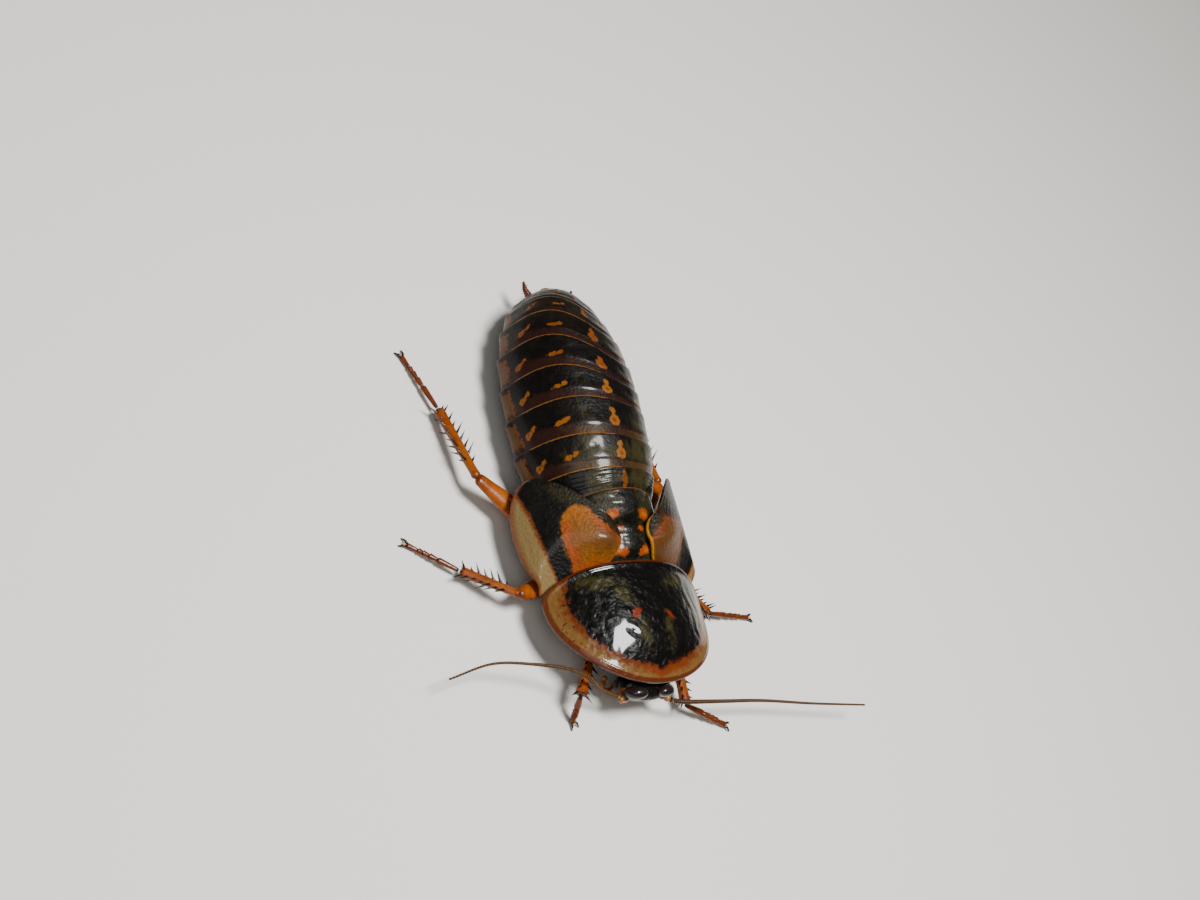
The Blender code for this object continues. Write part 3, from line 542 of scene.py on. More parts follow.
# The head capsule is smooth black cuticle, brown at the cheeks, with pale simple eyes.
HEAD_CHITIN = Cuticle(
    "head_black_cuticle", "0E0C0A", shade="1A140D", roughness=0.3, sheen=0.1, gloss=0.35,
    haze=0.12, pit=0.2, pit_depth=0.004, fold=0.7, fold_depth=0.02,
    pigments=(
        Pigment("ember", "6E3A14", 0.25, 0.2, 0.5, 0.9),
        Pigment("ocellus", "B08A50", 0.08, 0.03, 0.3, 0.9),
        Pigment("seam", "050403", 0.05, 0.02, 0.3, 0.9),
    ))

# A compound eye is a sheet of tiny lenses over dark pigment, so it is glossy with a fine grid of pits.
EYE_LENS = Cuticle(
    "eye_dark_lens", "1B1213", shade="2E1E1C", drift_cell=0.8, roughness=0.25, gloss=0.6,
    haze=0.06, pit=0.07, pit_depth=0.005, fold=0.8, fold_depth=0.002)

# The feelers are dull brown cuticle with a pale ring of thin skin at each joint.
FEELER_CHITIN = Cuticle(
    "feeler_brown_cuticle", "241208", shade="3C2010", drift_cell=0.6, roughness=0.4, gloss=0.3,
    haze=0.25, pit=0.1, pit_depth=0.003, fold=0.3, fold_depth=0.004,
    pigments=(Pigment("ring", "8A6234", 0.02, 0.01, 0.3, 0.8),))

# Mouth feelers, lip and feeler bases are thin tan cuticle that light enters.
PALP_CHITIN = Cuticle(
    "palp_tan_cuticle", "8E5A24", shade="5A3012", drift_cell=0.6, roughness=0.32, gloss=0.5,
    haze=0.18, pit=0.14, pit_depth=0.004, fold=0.4, fold_depth=0.006, glow=0.1,
    pigments=(Pigment("joint", "3A1C0A", 0.12, 0.05, 0.3, 0.7),))


# Pieces

class Slot(Enum):
    """The record's finishes, one for each kind of cuticle."""
    SHELL = "shell_black"
    WING = "wing_amber"
    PLATE = "plate_brown"
    EYE = "eye_dark"
    LEG = "leg_amber"
    SHIN = "leg_red"
    FEELER = "feeler_brown"
    PALP = "palp_tan"


@dataclass
class Piece:
    """One mesh piece, gathered from grids of points in body millimetres."""
    name: str
    finishes: tuple[Cuticle, ...]
    points: list[Points] = field(default_factory=list)
    quads: list[Array] = field(default_factory=list)
    triangles: list[Array] = field(default_factory=list)
    worn: list[int] = field(default_factory=list)
    marks: list[Marks] = field(default_factory=list)
    count: int = 0

    def add_grid(self, grid: Points, finish: int = 0, marks: Marks | None = None) -> None:
        """Adds rings of points as one closed surface, with a fan over each end.

        Args:
            grid: rows of rings, shape (rows, columns, 3).
            finish: which of the piece's finishes it wears.
            marks: numbers for each point, shape (rows, columns).
        """
        rows, columns = grid.shape[:2]
        index = np.arange(rows * columns).reshape(rows, columns)
        after = np.roll(index, -1, axis=1)
        quads = np.stack([index[:-1], after[:-1], after[1:], index[1:]], axis=-1).reshape(-1, 4)
        first, last = rows * columns, rows * columns + 1
        start = np.stack([after[0], index[0], np.full(columns, first)], axis=-1)
        end = np.stack([index[-1], after[-1], np.full(columns, last)], axis=-1)
        poles = np.stack([grid[0].mean(axis=0), grid[-1].mean(axis=0)])
        points = np.vstack([grid.reshape(-1, 3), poles])
        spread = {name: np.broadcast_to(value, (rows, columns)) for name, value in (marks or {}).items()}
        whole = {name: np.concatenate([value.reshape(-1), [value[0].mean(), value[-1].mean()]])
                 for name, value in spread.items()}
        self.add_faces(points, quads, np.vstack([start, end]), finish, whole)

    def add_sheet(self, top: Points, under: Points, finish: int = 0, marks: Marks | None = None) -> None:
        """Adds a plate between two grids of the same shape, closed along its border.

        Args:
            top: its upper face, shape (rows, columns, 3).
            under: its lower face.
            finish: which of the piece's finishes it wears.
            marks: numbers for each point of a face.
        """
        rows, columns = top.shape[:2]
        index = np.arange(rows * columns).reshape(rows, columns)
        face = np.stack([index[:-1, :-1], index[:-1, 1:], index[1:, 1:], index[1:, :-1]], axis=-1)
        face = face.reshape(-1, 4)
        border = np.concatenate([index[0], index[1:, -1], index[-1, -2::-1], index[-2:0:-1, 0]])
        onward = np.roll(border, -1)
        shift = rows * columns
        wall = np.stack([border, border + shift, onward + shift, onward], axis=-1)
        quads = np.vstack([face, face[:, ::-1] + shift, wall])
        whole = {name: np.tile(np.broadcast_to(value, (rows, columns)).reshape(-1), 2)
                 for name, value in (marks or {}).items()}
        self.add_faces(np.vstack([top.reshape(-1, 3), under.reshape(-1, 3)]), quads,
                       np.zeros((0, 3), dtype=int), finish, whole)

    def add_faces(self, points: Points, quads: Array, triangles: Array, finish: int,
                  marks: Marks) -> None:
        """Keeps one closed surface, turned so that its faces look outwards.

        The volume enclosed is the sum over faces of a . (b x c) / 6, and is below zero inside out.
        """
        halves = np.vstack([quads[:, [0, 1, 2]], quads[:, [0, 2, 3]], triangles])
        corner = points[halves] - points.mean(axis=0)
        volume = np.einsum("ij,ij->i", corner[:, 0], np.cross(corner[:, 1], corner[:, 2])).sum()
        if volume < 0:
            quads, triangles = quads[:, ::-1], triangles[:, ::-1]
        self.quads.append(quads + self.count)
        self.triangles.append(triangles + self.count)
        self.worn.append(finish)
        self.points.append(points)
        self.marks.append(marks)
        self.count += len(points)

    def build(self, slot: Slot, replaces: tuple[str, ...], sharp: float = 50.0) -> bpy.types.Object:
        """Writes the mesh, dresses it and sets it on the model.

        Args:
            slot: the record's finish that it takes; not used.
            replaces: the solid nodes that it stands for.
            sharp: edges that turn more than this many degrees stay crisp.

        Returns:
            The new object.
        """
        points = (np.vstack(self.points) + ORIGIN) * MM
        quads, triangles = np.vstack(self.quads), np.vstack(self.triangles)
        mesh = bpy.data.meshes.new(self.name)
        mesh.from_pydata(points.tolist(), [], quads.tolist() + triangles.tolist())
        worn = [np.full(len(faces), finish)
                for faces, finish in zip(self.quads + self.triangles, self.worn * 2)]
        mesh.polygons.foreach_set("material_index", np.concatenate(worn))
        for name in sorted({name for marks in self.marks for name in marks}):
            values = np.concatenate([marks.get(name, np.full(len(cloud), FAR))
                                     for marks, cloud in zip(self.marks, self.points)])
            mesh.attributes.new(name, "FLOAT", "POINT").data.foreach_set("value", values.astype(np.float32))
        for finish in self.finishes:
            mesh.materials.append(finish.material())
        mesh.shade_smooth()
        mesh.set_sharp_from_angle(angle=math.radians(sharp))
        mesh.update()
        piece = bpy.data.objects.new(self.name, mesh)
        bpy.context.scene.collection.objects.link(piece)
        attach(piece, "root")
        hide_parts(*replaces)
        LOG.info("%s: %d faces", self.name, len(mesh.polygons))
        return piece


ORIGIN = body_origin()


@dataclass
class Shield:
    """The pronotum: a thin domed plate that hides the head from above.

    Its plan is a superellipse in front and a flatter one behind, and its height falls from a
    crest line to the flange as 1 - s^2.2, with s the share of the half width.
    """
    half_width: float = 8.8
    widest: float = 8.6
    rear_reach: float = 2.55
    margin_z: float = 4.0
    crest_z: float = 7.8
    crest_y: float = 6.8
    front_drop: float = 1.7
    lean: float = 0.42         # how far its front leans to the animal's left
    rear_drop: float = 0.3
    thickness: float = 0.55
    middle: float = 6.2        # place along of the point that its rings close on
    front_margin: float = 1.55
    side_margin: float = 1.6
    columns: int = 440
    rows: int = 110
    edge_rows: int = 7
    dents: tuple = (((2.6, 4.4), (1.1, 0.6), 35, 0.07), ((4.6, 6.6), (1.3, 0.45), 70, 0.06),
                    ((1.2, 7.8), (0.45, 1.2), 10, 0.05), ((5.9, 4.9), (0.8, 0.35), 60, 0.05),
                    ((3.4, 8.9), (1.2, 0.4), -20, 0.04))    # middle, half axes, turn and depth of each
    olive_clouds: tuple = (((-4.5, 9.4), (2.2, 0.8), -12), ((-2.6, 7.9), (1.5, 0.7), -50),
                           ((-1.5, 4.3), (0.6, 1.7), 12), ((4.2, 9.3), (2.0, 0.7), 14),
                           ((1.4, 4.4), (0.5, 1.5), -10), ((5.6, 6.4), (0.7, 1.8), 8))
    red_spots: tuple = (((-1.84, 6.1), (0.6, 0.36), 40), ((1.86, 5.75), (0.56, 0.22), -54))

    def crest(self, y: Array) -> Array:
        """Gives the height of the middle line at a place along the body."""
        ahead = np.clip((self.crest_y - y) / self.crest_y, 0, None)
        behind = np.clip((y - self.crest_y) / 4.35, 0, None)
        return self.crest_z - self.front_drop * ahead ** 2.3 - self.rear_drop * behind ** 2

    def top(self, x: Array, y: Array) -> Array:
        """Gives the height of the plate's upper face."""
        share = np.clip(np.abs(x) / self.half_width, 0, 1)
        return self.margin_z + (self.crest(y) - self.margin_z) * (1 - share ** 2.2)

    def rear_edge(self, x: Array) -> Array:
        """Gives how far back the plate reaches at a distance from the middle line."""
        share = np.clip(np.abs(x) / self.half_width, 0, 1)
        return self.widest + self.rear_reach * np.sqrt(1 - share ** 3.2)

    def rim(self, angle: Array) -> tuple[Array, Array]:
        """Gives the outline's x and y at an angle around the plate, 0 at the left side."""
        c, s = np.cos(angle), np.sin(angle)
        front = s < 0
        x = self.half_width * np.where(front, signed_power(c, 1 / 1.05), signed_power(c, 1 / 1.6))
        y = self.widest + np.where(front, -self.widest * np.abs(s) ** (1 / 1.05), self.rear_reach * np.abs(s))
        return x, y

    def build(self) -> None:
        """Builds the plate as rings from its middle over the rim and back below."""
        angle = turns(self.columns)[None, :]
        rim_x, rim_y = self.rim(angle)
        level = (1 - (1 - np.linspace(0.012, 1, self.rows)) ** 1.25)[:, None]
        x = rim_x * level
        y = self.middle + (rim_y - self.middle) * level
        reach = np.hypot(rim_x, rim_y - self.middle)
        depth = (1 - level) * reach
        z = self.top(x, y) + self.relief(x, y, depth, angle)
        upper = np.stack([x, y, z], axis=-1)
        grid = np.concatenate([upper, *self.under_side(upper, rim_x, rim_y, reach)])
        marks = self.marks(grid[..., 0], grid[..., 1], angle, np.concatenate(
            [depth, np.zeros((self.edge_rows, self.columns)), depth[::-4]]))
        grid[..., 0] += self.lean * np.clip((self.crest_y - grid[..., 1]) / self.crest_y, 0, 1)
        piece = Piece("pronotum_shield", (SHIELD_CHITIN,))
        piece.add_grid(grid, marks=marks)
        piece.build(Slot.SHELL, ("pronotum",))

    def under_side(self, upper: Points, rim_x: Array, rim_y: Array,
                   reach: Array) -> list[Points]:
        """Rolls the edge round a half circle and brings the rings back below the plate.

        Args:
            upper: the rings of the upper face, the last one the rim.
            rim_x: the outline's x.
            rim_y: the outline's y.
            reach: the outline's distance from the middle.

        Returns:
            The rings of the rolled edge, and those of the under side.
        """
        radius = self.thickness / 2
        roll = np.linspace(0, math.pi, self.edge_rows + 2)[1:-1, None]
        out = radius * 0.6 * np.sin(roll) / reach
        edge = np.stack([rim_x * (1 + out), self.middle + (rim_y - self.middle) * (1 + out),
                         upper[-1:, :, 2] - radius * (1 - np.cos(roll))], axis=-1)
        below = upper[::-4].copy()
        share = shares(len(below))[:, None]
        below[..., 2] -= self.thickness + 0.25 * share
        return [edge, below]

    def relief(self, x: Array, y: Array, depth: Array, angle: Array) -> Array:
        """Raises the rim bead and the shallow dents and furrows of the disc.

        Each dent is a small ellipse of a few hundredths of a millimetre, and the furrows are a
        wave that fades towards the middle.

        Args:
            x: place across, mm.
            y: place along, mm.
            depth: distance in from the rim, mm.
            angle: direction from the middle of the plate.

        Returns:
            The height to add.
        """
        bead = 0.05 * np.exp(-((depth - 0.22) / 0.14) ** 2)
        gutter = -0.03 * np.exp(-((depth - 0.9) / 0.4) ** 2)
        rear_roll = 0.05 * ease(np.sin(angle), 0.3, 0.9) * np.exp(-((depth - 0.35) / 0.18) ** 2)
        mirror = np.abs(x)
        pressed = sum(-deep * np.clip(ellipse_field(mirror, y, centre, half, turn) / min(half), 0, 1) ** 1.5
                      for centre, half, turn, deep in self.dents)
        furrow = 0.018 * np.sin(5.0 * mirror + 1.3 * np.sin(1.7 * y) + 0.8 * y) * ease(mirror, 3.2, 5.6)
        fade = ease(depth, 1.0, 2.0)
        return bead + gutter + rear_roll + (pressed + furrow) * fade

    def marks(self, x: Array, y: Array, angle: Array, depth: Array) -> Marks:
        """Works out where each pigment of the shield lies.

        The margin is what the dark disc leaves: about 1.5 mm in front, 1.6 mm at the sides and
        none along the rear edge, with a dark notch into it at the front middle.

        Args:
            x: place across before the front leans, mm.
            y: place along, mm.
            angle: direction from the middle of the plate.
            depth: distance in from the rim, mm.

        Returns:
            The shield's marks.
        """
        s, c = np.sin(angle), np.cos(angle)
        front = self.front_margin - 0.25 * np.clip(-s, 0, 1) ** 6
        behind = self.side_margin * (1 - (np.clip(s, 0, 1) / 0.8) ** 2) - 0.25 * ease(s, 0.6, 0.8)
        notch = 0.5 * np.exp(-np.abs((x + 0.2) / 0.6) ** 1.6) * (s < 0)
        width = np.where(s < 0, front, behind) - notch
        margin = width - depth
        return {
            "margin": margin,
            "flange": margin - 0.5,
            "rim": 0.1 - depth + 0.1 * ease(-s, -0.2, 0.8),
            "olive": ellipses_field(x, y, self.olive_clouds) - 0.2,
            "spot": ellipses_field(x, y, self.red_spots),
            "ember": np.minimum(0.35 - np.abs(margin - 0.3), (2.6 - np.abs(x - 0.6)) * 0.5 - 4.0 * (s > 0)),
            "fleck": np.where((margin > 0.15) & (c < -0.3) & (s > -0.6), -0.42, -2.0),
        }


@dataclass
class WingStub:
    """A tegmen: the short leathery fore wing of a female, rounded outside and slanting inside."""
    side: int
    shield: Shield
    thickness: float = 0.5
    outer_z: float = 3.25
    half_width: float = 9.8
    crest_z: float = 9.0
    base_slope: float = 1.3
    inner_dip: float = 0.7     # how deep the inner edge dips beside the middle line
    tip_drop: float = 0.1
    tuck: float = 0.22         # more room below the shield than the film
    blend: float = 0.22        # how softly the arch passes into the part below the shield
    tip_taper: float = 9.0     # how steeply the border of the tip thins
    outer_edge: tuple = ((8.55, 9.7), (9.35, 11.3), (9.65, 13.0), (9.75, 14.7), (9.75, 16.3), (9.6, 17.9),
                         (9.3, 19.1), (8.8, 19.95), (8.2, 20.3))
    inner_edge: tuple = ((2.5, 11.4), (1.95, 12.2), (1.62, 13.1), (1.62, 14.0), (2.05, 14.9), (3.0, 15.7),
                         (4.3, 17.1), (5.8, 18.7), (7.6, 20.2))
    patch_outline: tuple = ((2.0, 13.2), (2.8, 13.9), (3.6, 14.7), (4.2, 15.65), (4.9, 16.5), (5.7, 16.65),
                            (6.3, 16.35), (6.7, 15.6), (6.88, 14.6), (6.85, 13.7), (6.5, 12.8), (6.1, 11.9),
                            (5.8, 10.9), (5.6, 9.3), (3.2, 9.9), (1.2, 11.0), (1.3, 12.4))
    olive_outline: tuple = ((2.2, 14.2), (3.0, 15.3), (4.3, 16.9), (5.6, 18.2), (6.8, 19.2), (7.2, 18.6),
                            (6.2, 17.2), (5.0, 16.8), (4.1, 15.8), (3.4, 14.8), (2.7, 14.0))
    strip_line: tuple = ((9.0, 6.9), (10.4, 7.1), (11.0, 7.45), (12.3, 8.2), (13.7, 8.5), (15.4, 8.65),
                         (16.8, 8.8), (18.2, 9.05), (19.0, 9.2), (20.5, 9.6))    # y and x of its inner side
    veins: tuple = ((0.30, 0.12), (0.36, 0.25), (0.42, 0.38), (0.47, 0.5), (0.52, 0.62), (0.56, 0.74),
                    (0.60, 0.86))      # where each starts and ends across the wing
    rows: int = 190
    columns: int = 150

    def top(self, x: Array, y: Array) -> Array:
        """Gives the wing's height: an arch over the body that dips below the shield at its base.

        The two meet as a smooth minimum: arch less w * log(1 + exp((arch - tucked) / w)).
        """
        share = np.clip(np.abs(x) / self.half_width, 0, 1)
        arch = self.outer_z + (self.crest_z - self.outer_z) * (1 - share ** 2.4) ** 0.85
        rear = self.shield.rear_edge(x)
        cover = self.shield.top(x, np.minimum(y, rear)) - self.shield.thickness - GAP - self.tuck
        slope = self.base_slope - 0.65 * ease(np.abs(x), 3.0, 7.0)
        tucked = cover + slope * np.clip(y - rear + 0.15, 0, None)
        near_middle = np.exp(-((np.abs(x) - 1.4) / 1.3) ** 2)
        dip = self.inner_dip * near_middle * ease(y, 12.0, 13.6) * (1 - ease(y, 14.6, 17.0))
        return arch - self.blend * np.logaddexp(0, (arch - tucked) / self.blend) - dip

    def vein_relief(self, u: Array, v: Array) -> Array:
        """Raises the veins, which fan out from the base, and the fine cross veins between them.

        A vein runs at u = start + (end - start) * v^0.8 and is a bell curve across.
        """
        main = sum(np.exp(-((u - (start + (end - start) * v ** 0.8)) / (0.022 if number % 2 else 0.03)) ** 2)
                   for number, (start, end) in enumerate(self.veins))
        cross = np.sin(58 * v + 9 * np.sin(7 * u)) * np.sin(46 * u + 6 * np.sin(5 * v))
        return 0.012 * main * ease(v, 0.02, 0.25) + 0.005 * cross * ease(u, 0.06, 0.2)

    def build(self) -> None:
        """Builds the wing between its two edges, thin and rounded at its border."""
        v = (shares(self.rows) ** 0.9)[:, None]
        even = shares(self.columns)[None, :]
        u = 0.6 * (0.5 - 0.5 * np.cos(math.pi * even)) + 0.4 * even
        inner = curve_through(self.inner_edge, 400)
        outer = curve_through(self.outer_edge, 400)
        place = shares(400)
        edges = [np.interp(v, place, edge[:, axis]) for edge in (inner, outer) for axis in (0, 1)]
        x = edges[0] + (edges[2] - edges[0]) * u
        y = edges[1] + (edges[3] - edges[1]) * u
        width = np.hypot(edges[2] - edges[0], edges[3] - edges[1])
        from_inner, from_outer = u * width, (1 - u) * width
        border = np.minimum(np.minimum(from_inner, from_outer), (1 - v) * self.tip_taper)
        round_off = np.sqrt(np.clip(1 - (1 - np.clip(border / 0.3, 0, 1)) ** 2, 0, 1))
        z = self.top(x, y) - self.tip_drop * v ** 3
        bead = 0.05 * (np.exp(-((from_inner - 0.18) / 0.12) ** 2) + np.exp(-((from_outer - 0.2) / 0.14) ** 2))
        half = 0.04 + (self.thickness / 2 - 0.04) * round_off
        middle = z - self.thickness / 2
        raised = (self.vein_relief(u, v) + bead) * round_off
        upper = np.stack([self.side * x, y, middle + half + raised], axis=-1)
        under = np.stack([self.side * x, y, middle - half], axis=-1)
        name = "tegmen_" + SIDE_NAMES[self.side]
        piece = Piece(name + "_wing", (WING_CHITIN,))
        piece.add_sheet(upper, under, marks=self.marks(x, y, v, from_inner, from_outer))
        piece.build(Slot.WING, (name,), sharp=70.0)

    def marks(self, x: Array, y: Array, v: Array, from_inner: Array, from_outer: Array) -> Marks:
        """Works out the wing's pattern: tan outer strip, black stripe, orange inner patch, dark tip.

        The left wing shows less of its strip and patch in the photo, and its patch is darkened with painted
        shade.

        Args:
            x: place across, outwards, mm.
            y: place along, mm.
            v: share of the way from the base to the tip.
            from_inner: distance from the inner edge, mm.
            from_outer: distance from the outer edge, mm.

        Returns:
            The pattern's marks.
        """
        patch = outline_field(x, y, self.patch_outline)
        strip_edge = np.interp(y, *zip(*self.strip_line))
        umber = ellipse_field(x, y, (3.0, 13.1), (1.5, 1.1)) - 0.2
        if self.side == LEFT:
            patch = np.minimum(patch, 15.1 - y)
            strip_edge = strip_edge + 1.0
            # Painted shade: the left wing's whole patch is darkened, as that wing lies in shade.
            umber = patch + 0.25
        flush = np.maximum(0.75 - patch - 2.5 * ease(y, 15.0, 16.2), 11.6 - y)
        return {
            "strip": np.minimum(x - strip_edge, (19.4 - y) * 0.5),
            "strip_edge": 0.12 - np.abs(x - strip_edge + 0.05),
            "patch": patch,
            "umber": umber,
            "dust": np.minimum(patch - 0.4, 1.0 - np.abs(y - 13.6) * 0.5),
            "flush": np.where(patch > 0, flush, -1.0),
            "olive": np.minimum(outline_field(x, y, self.olive_outline), 0.35),
            "edge": 0.14 - from_outer,
            "inner": 0.13 - from_inner - 0.3 * ease(v, 0.55, 0.9),
        }


@dataclass(frozen=True)
class Section:
    """A cross section of the body: an arched back over a flatter belly.

    The back is z = margin + height * (1 - |u|^2.2)^power, the belly z = margin - belly * |s|^0.8,
    with u the share of the half width.
    """
    half_width: Array
    margin: Array
    height: Array
    belly: Array
    ridge: Array
    power: float = 0.62

    def ring(self, angle: Array) -> tuple[Array, Array]:
        """Gives x and z around the section, from the left margin over the back."""
        c, s = np.cos(angle), np.sin(angle)
        upper = s >= 0
        u = np.where(upper, signed_power(c, 0.86), signed_power(c, 0.7))
        x = self.half_width * u
        back = (self.margin + self.height * np.clip(1 - np.abs(u) ** 2.2, 0, 1) ** self.power
                + self.ridge * np.exp(-(np.abs(x) / 1.9) ** 3))
        return x, np.where(upper, back, self.margin - self.belly * np.abs(s) ** 0.8)


@dataclass
class ThoraxPlate:
    """A ring of the thorax: its back plate shows between the wings, the rest lies under them."""
    name: str
    table: tuple
    embers: tuple = ()
    cores: tuple = ()
    rim_highlight_from: float = 99.0
    rows: int = 90
    columns: int = 200

    def build(self) -> None:
        """Builds the ring as sections along the body, read from its table of sizes."""
        first, last = self.table[0][0], self.table[-1][0]
        y = np.linspace(first, last, self.rows)[:, None]
        angle = turns(self.columns)[None, :]
        end = np.minimum(ease(y, first, first + 0.25), ease(-y, -last, -last + 0.25))
        half_width, margin, height, belly, ridge = (profile(self.table, y[:, 0], column)[:, None]
                                                    for column in range(1, 6))
        shrink = 0.12 * (1 - end)
        section = Section(half_width - shrink, margin, height - shrink, belly - shrink * 0.5, ridge, 0.8)
        x, z = section.ring(angle)
        back = np.sin(angle) > 0
        z = z + np.where(back, self.relief(x, y), 0)
        y = np.broadcast_to(y, x.shape)
        piece = Piece(self.name + "_ring", (THORAX_CHITIN,))
        piece.add_grid(np.stack([x, y, z], axis=-1), marks=self.marks(x, y, back))
        piece.build(Slot.PLATE, (self.name,))

    def relief(self, x: Array, y: Array) -> Array:
        """Presses two furrows beside the ridge and a low wave across the plate."""
        furrow = -0.06 * np.exp(-((np.abs(x) - 0.75 - 0.12 * (y - 12.0)) / 0.2) ** 2)
        wave = np.sin(4.2 * y + 0.8 * np.abs(x)) + 0.6 * np.sin(9.0 * y - 2.0 * np.abs(x))
        return furrow + 0.02 * wave

    def marks(self, x: Array, y: Array, back: Array) -> Marks:
        """Sets the red spots beside the middle line, the olive clouds around them and a painted highlight
        along the rear rim.
        """
        mirror = np.abs(x)
        return {
            "ember": ellipses_field(mirror, y, self.embers),
            "core": ellipses_field(mirror, y, self.cores),
            "olive": np.where(back, 0.55 - np.abs(mirror - 2.3) * 0.5, -2.0),
            # Painted highlight: a light band from this place to the rear rim.
            "lip": y - self.rim_highlight_from,
        }


@dataclass(frozen=True)
class Swing:
    """The curve of the tail end: the middle line bends to the animal's left.

    Between start and end it turns by rate radians per millimetre, an arc of a circle, and then
    runs on straight.
    """
    rate: float = 0.0081
    start: float = 21.0
    end: float = 37.0
    rims: tuple = ((17.7, 0.0, 0.0), (20.0, 0.2, 0.5), (23.2, 0.3, 0.9), (26.6, 0.05, 1.2), (30.0, 0.85, 2.6),
                   (33.4, 1.35, 3.2), (36.3, 1.2, 3.0), (38.3, 0.9, 2.4), (39.6, 0.5, 1.2), (41.2, 0.0, 0.0))

    def rim_place(self, y: Array, share: Array) -> Array:
        """Gives where a rim of level y runs at a share of the half width.

        It runs (middle + slant * share) * (1 - share^2) ahead of its level, so it is an arch whose
        crown lies to the right; both amounts are read from the table of places.
        """
        places, middle, slant = zip(*self.rims)
        return y - (np.interp(y, places, middle) + np.interp(y, places, slant) * share) * (1 - share ** 2)

    def bend(self, points: Points) -> Points:
        """Moves points of a straight abdomen to where they lie on the bent one."""
        x, y, z = np.moveaxis(points, -1, 0)
        steady = np.clip(y, self.start, self.end) - self.start
        beyond = np.clip(y - self.end, 0, None)
        turn = self.rate * steady
        middle_x = turn * steady / 2 + beyond * np.sin(turn)
        middle_y = np.minimum(y, self.end) - turn ** 2 * steady / 6 + beyond * np.cos(turn)
        return np.stack([middle_x + x * np.cos(turn), middle_y - x * np.sin(turn), z], axis=-1)


@dataclass(frozen=True)
class Ring:
    """One ring of the abdomen: where it ends, and how strong its marks are."""
    rear: float                # its rear edge on the middle line
    bow: float                 # how far that edge sweeps back at the sides
    olive: float               # strength of the olive clouds beside the middle line
    sheen: float               # strength of the painted sheen, a pale colour on its smooth band in place of a shine
    ochre: float = 0.0         # size of its ochre marks
    bar: float = 0.0           # share of the way down the side where the middle mark lies
    flank: float = 0.0         # the same for the low mark


RINGS = (
    Ring(20.0, 0.1, 0.6, 0.7, 1.1),
    Ring(23.2, 0.1, 0.6, 0.6, 1.0, 0.475, 0.77),
    Ring(26.6, 0.1, 0.1, 0.4, 1.0, 0.475, 0.78),
    Ring(30.0, -0.1, -0.2, -0.4, 1.0, 0.43, 0.77),
    Ring(33.4, -0.25, -0.5, -0.4, 0.92, 0.41, 0.76),
    Ring(36.3, -0.35, -0.7, -0.4, 0.85, 0.37, 0.7),
    Ring(38.3, -0.35, -0.8, -0.4, 0.55, 0.3, 0.62),
    Ring(39.6, -0.35, -0.8, -0.4, 0.3, 0.3, 0.6),
    Ring(40.5, -0.3, -0.8, -0.4),
    Ring(41.2, -0.15, -0.8, -0.4),
)


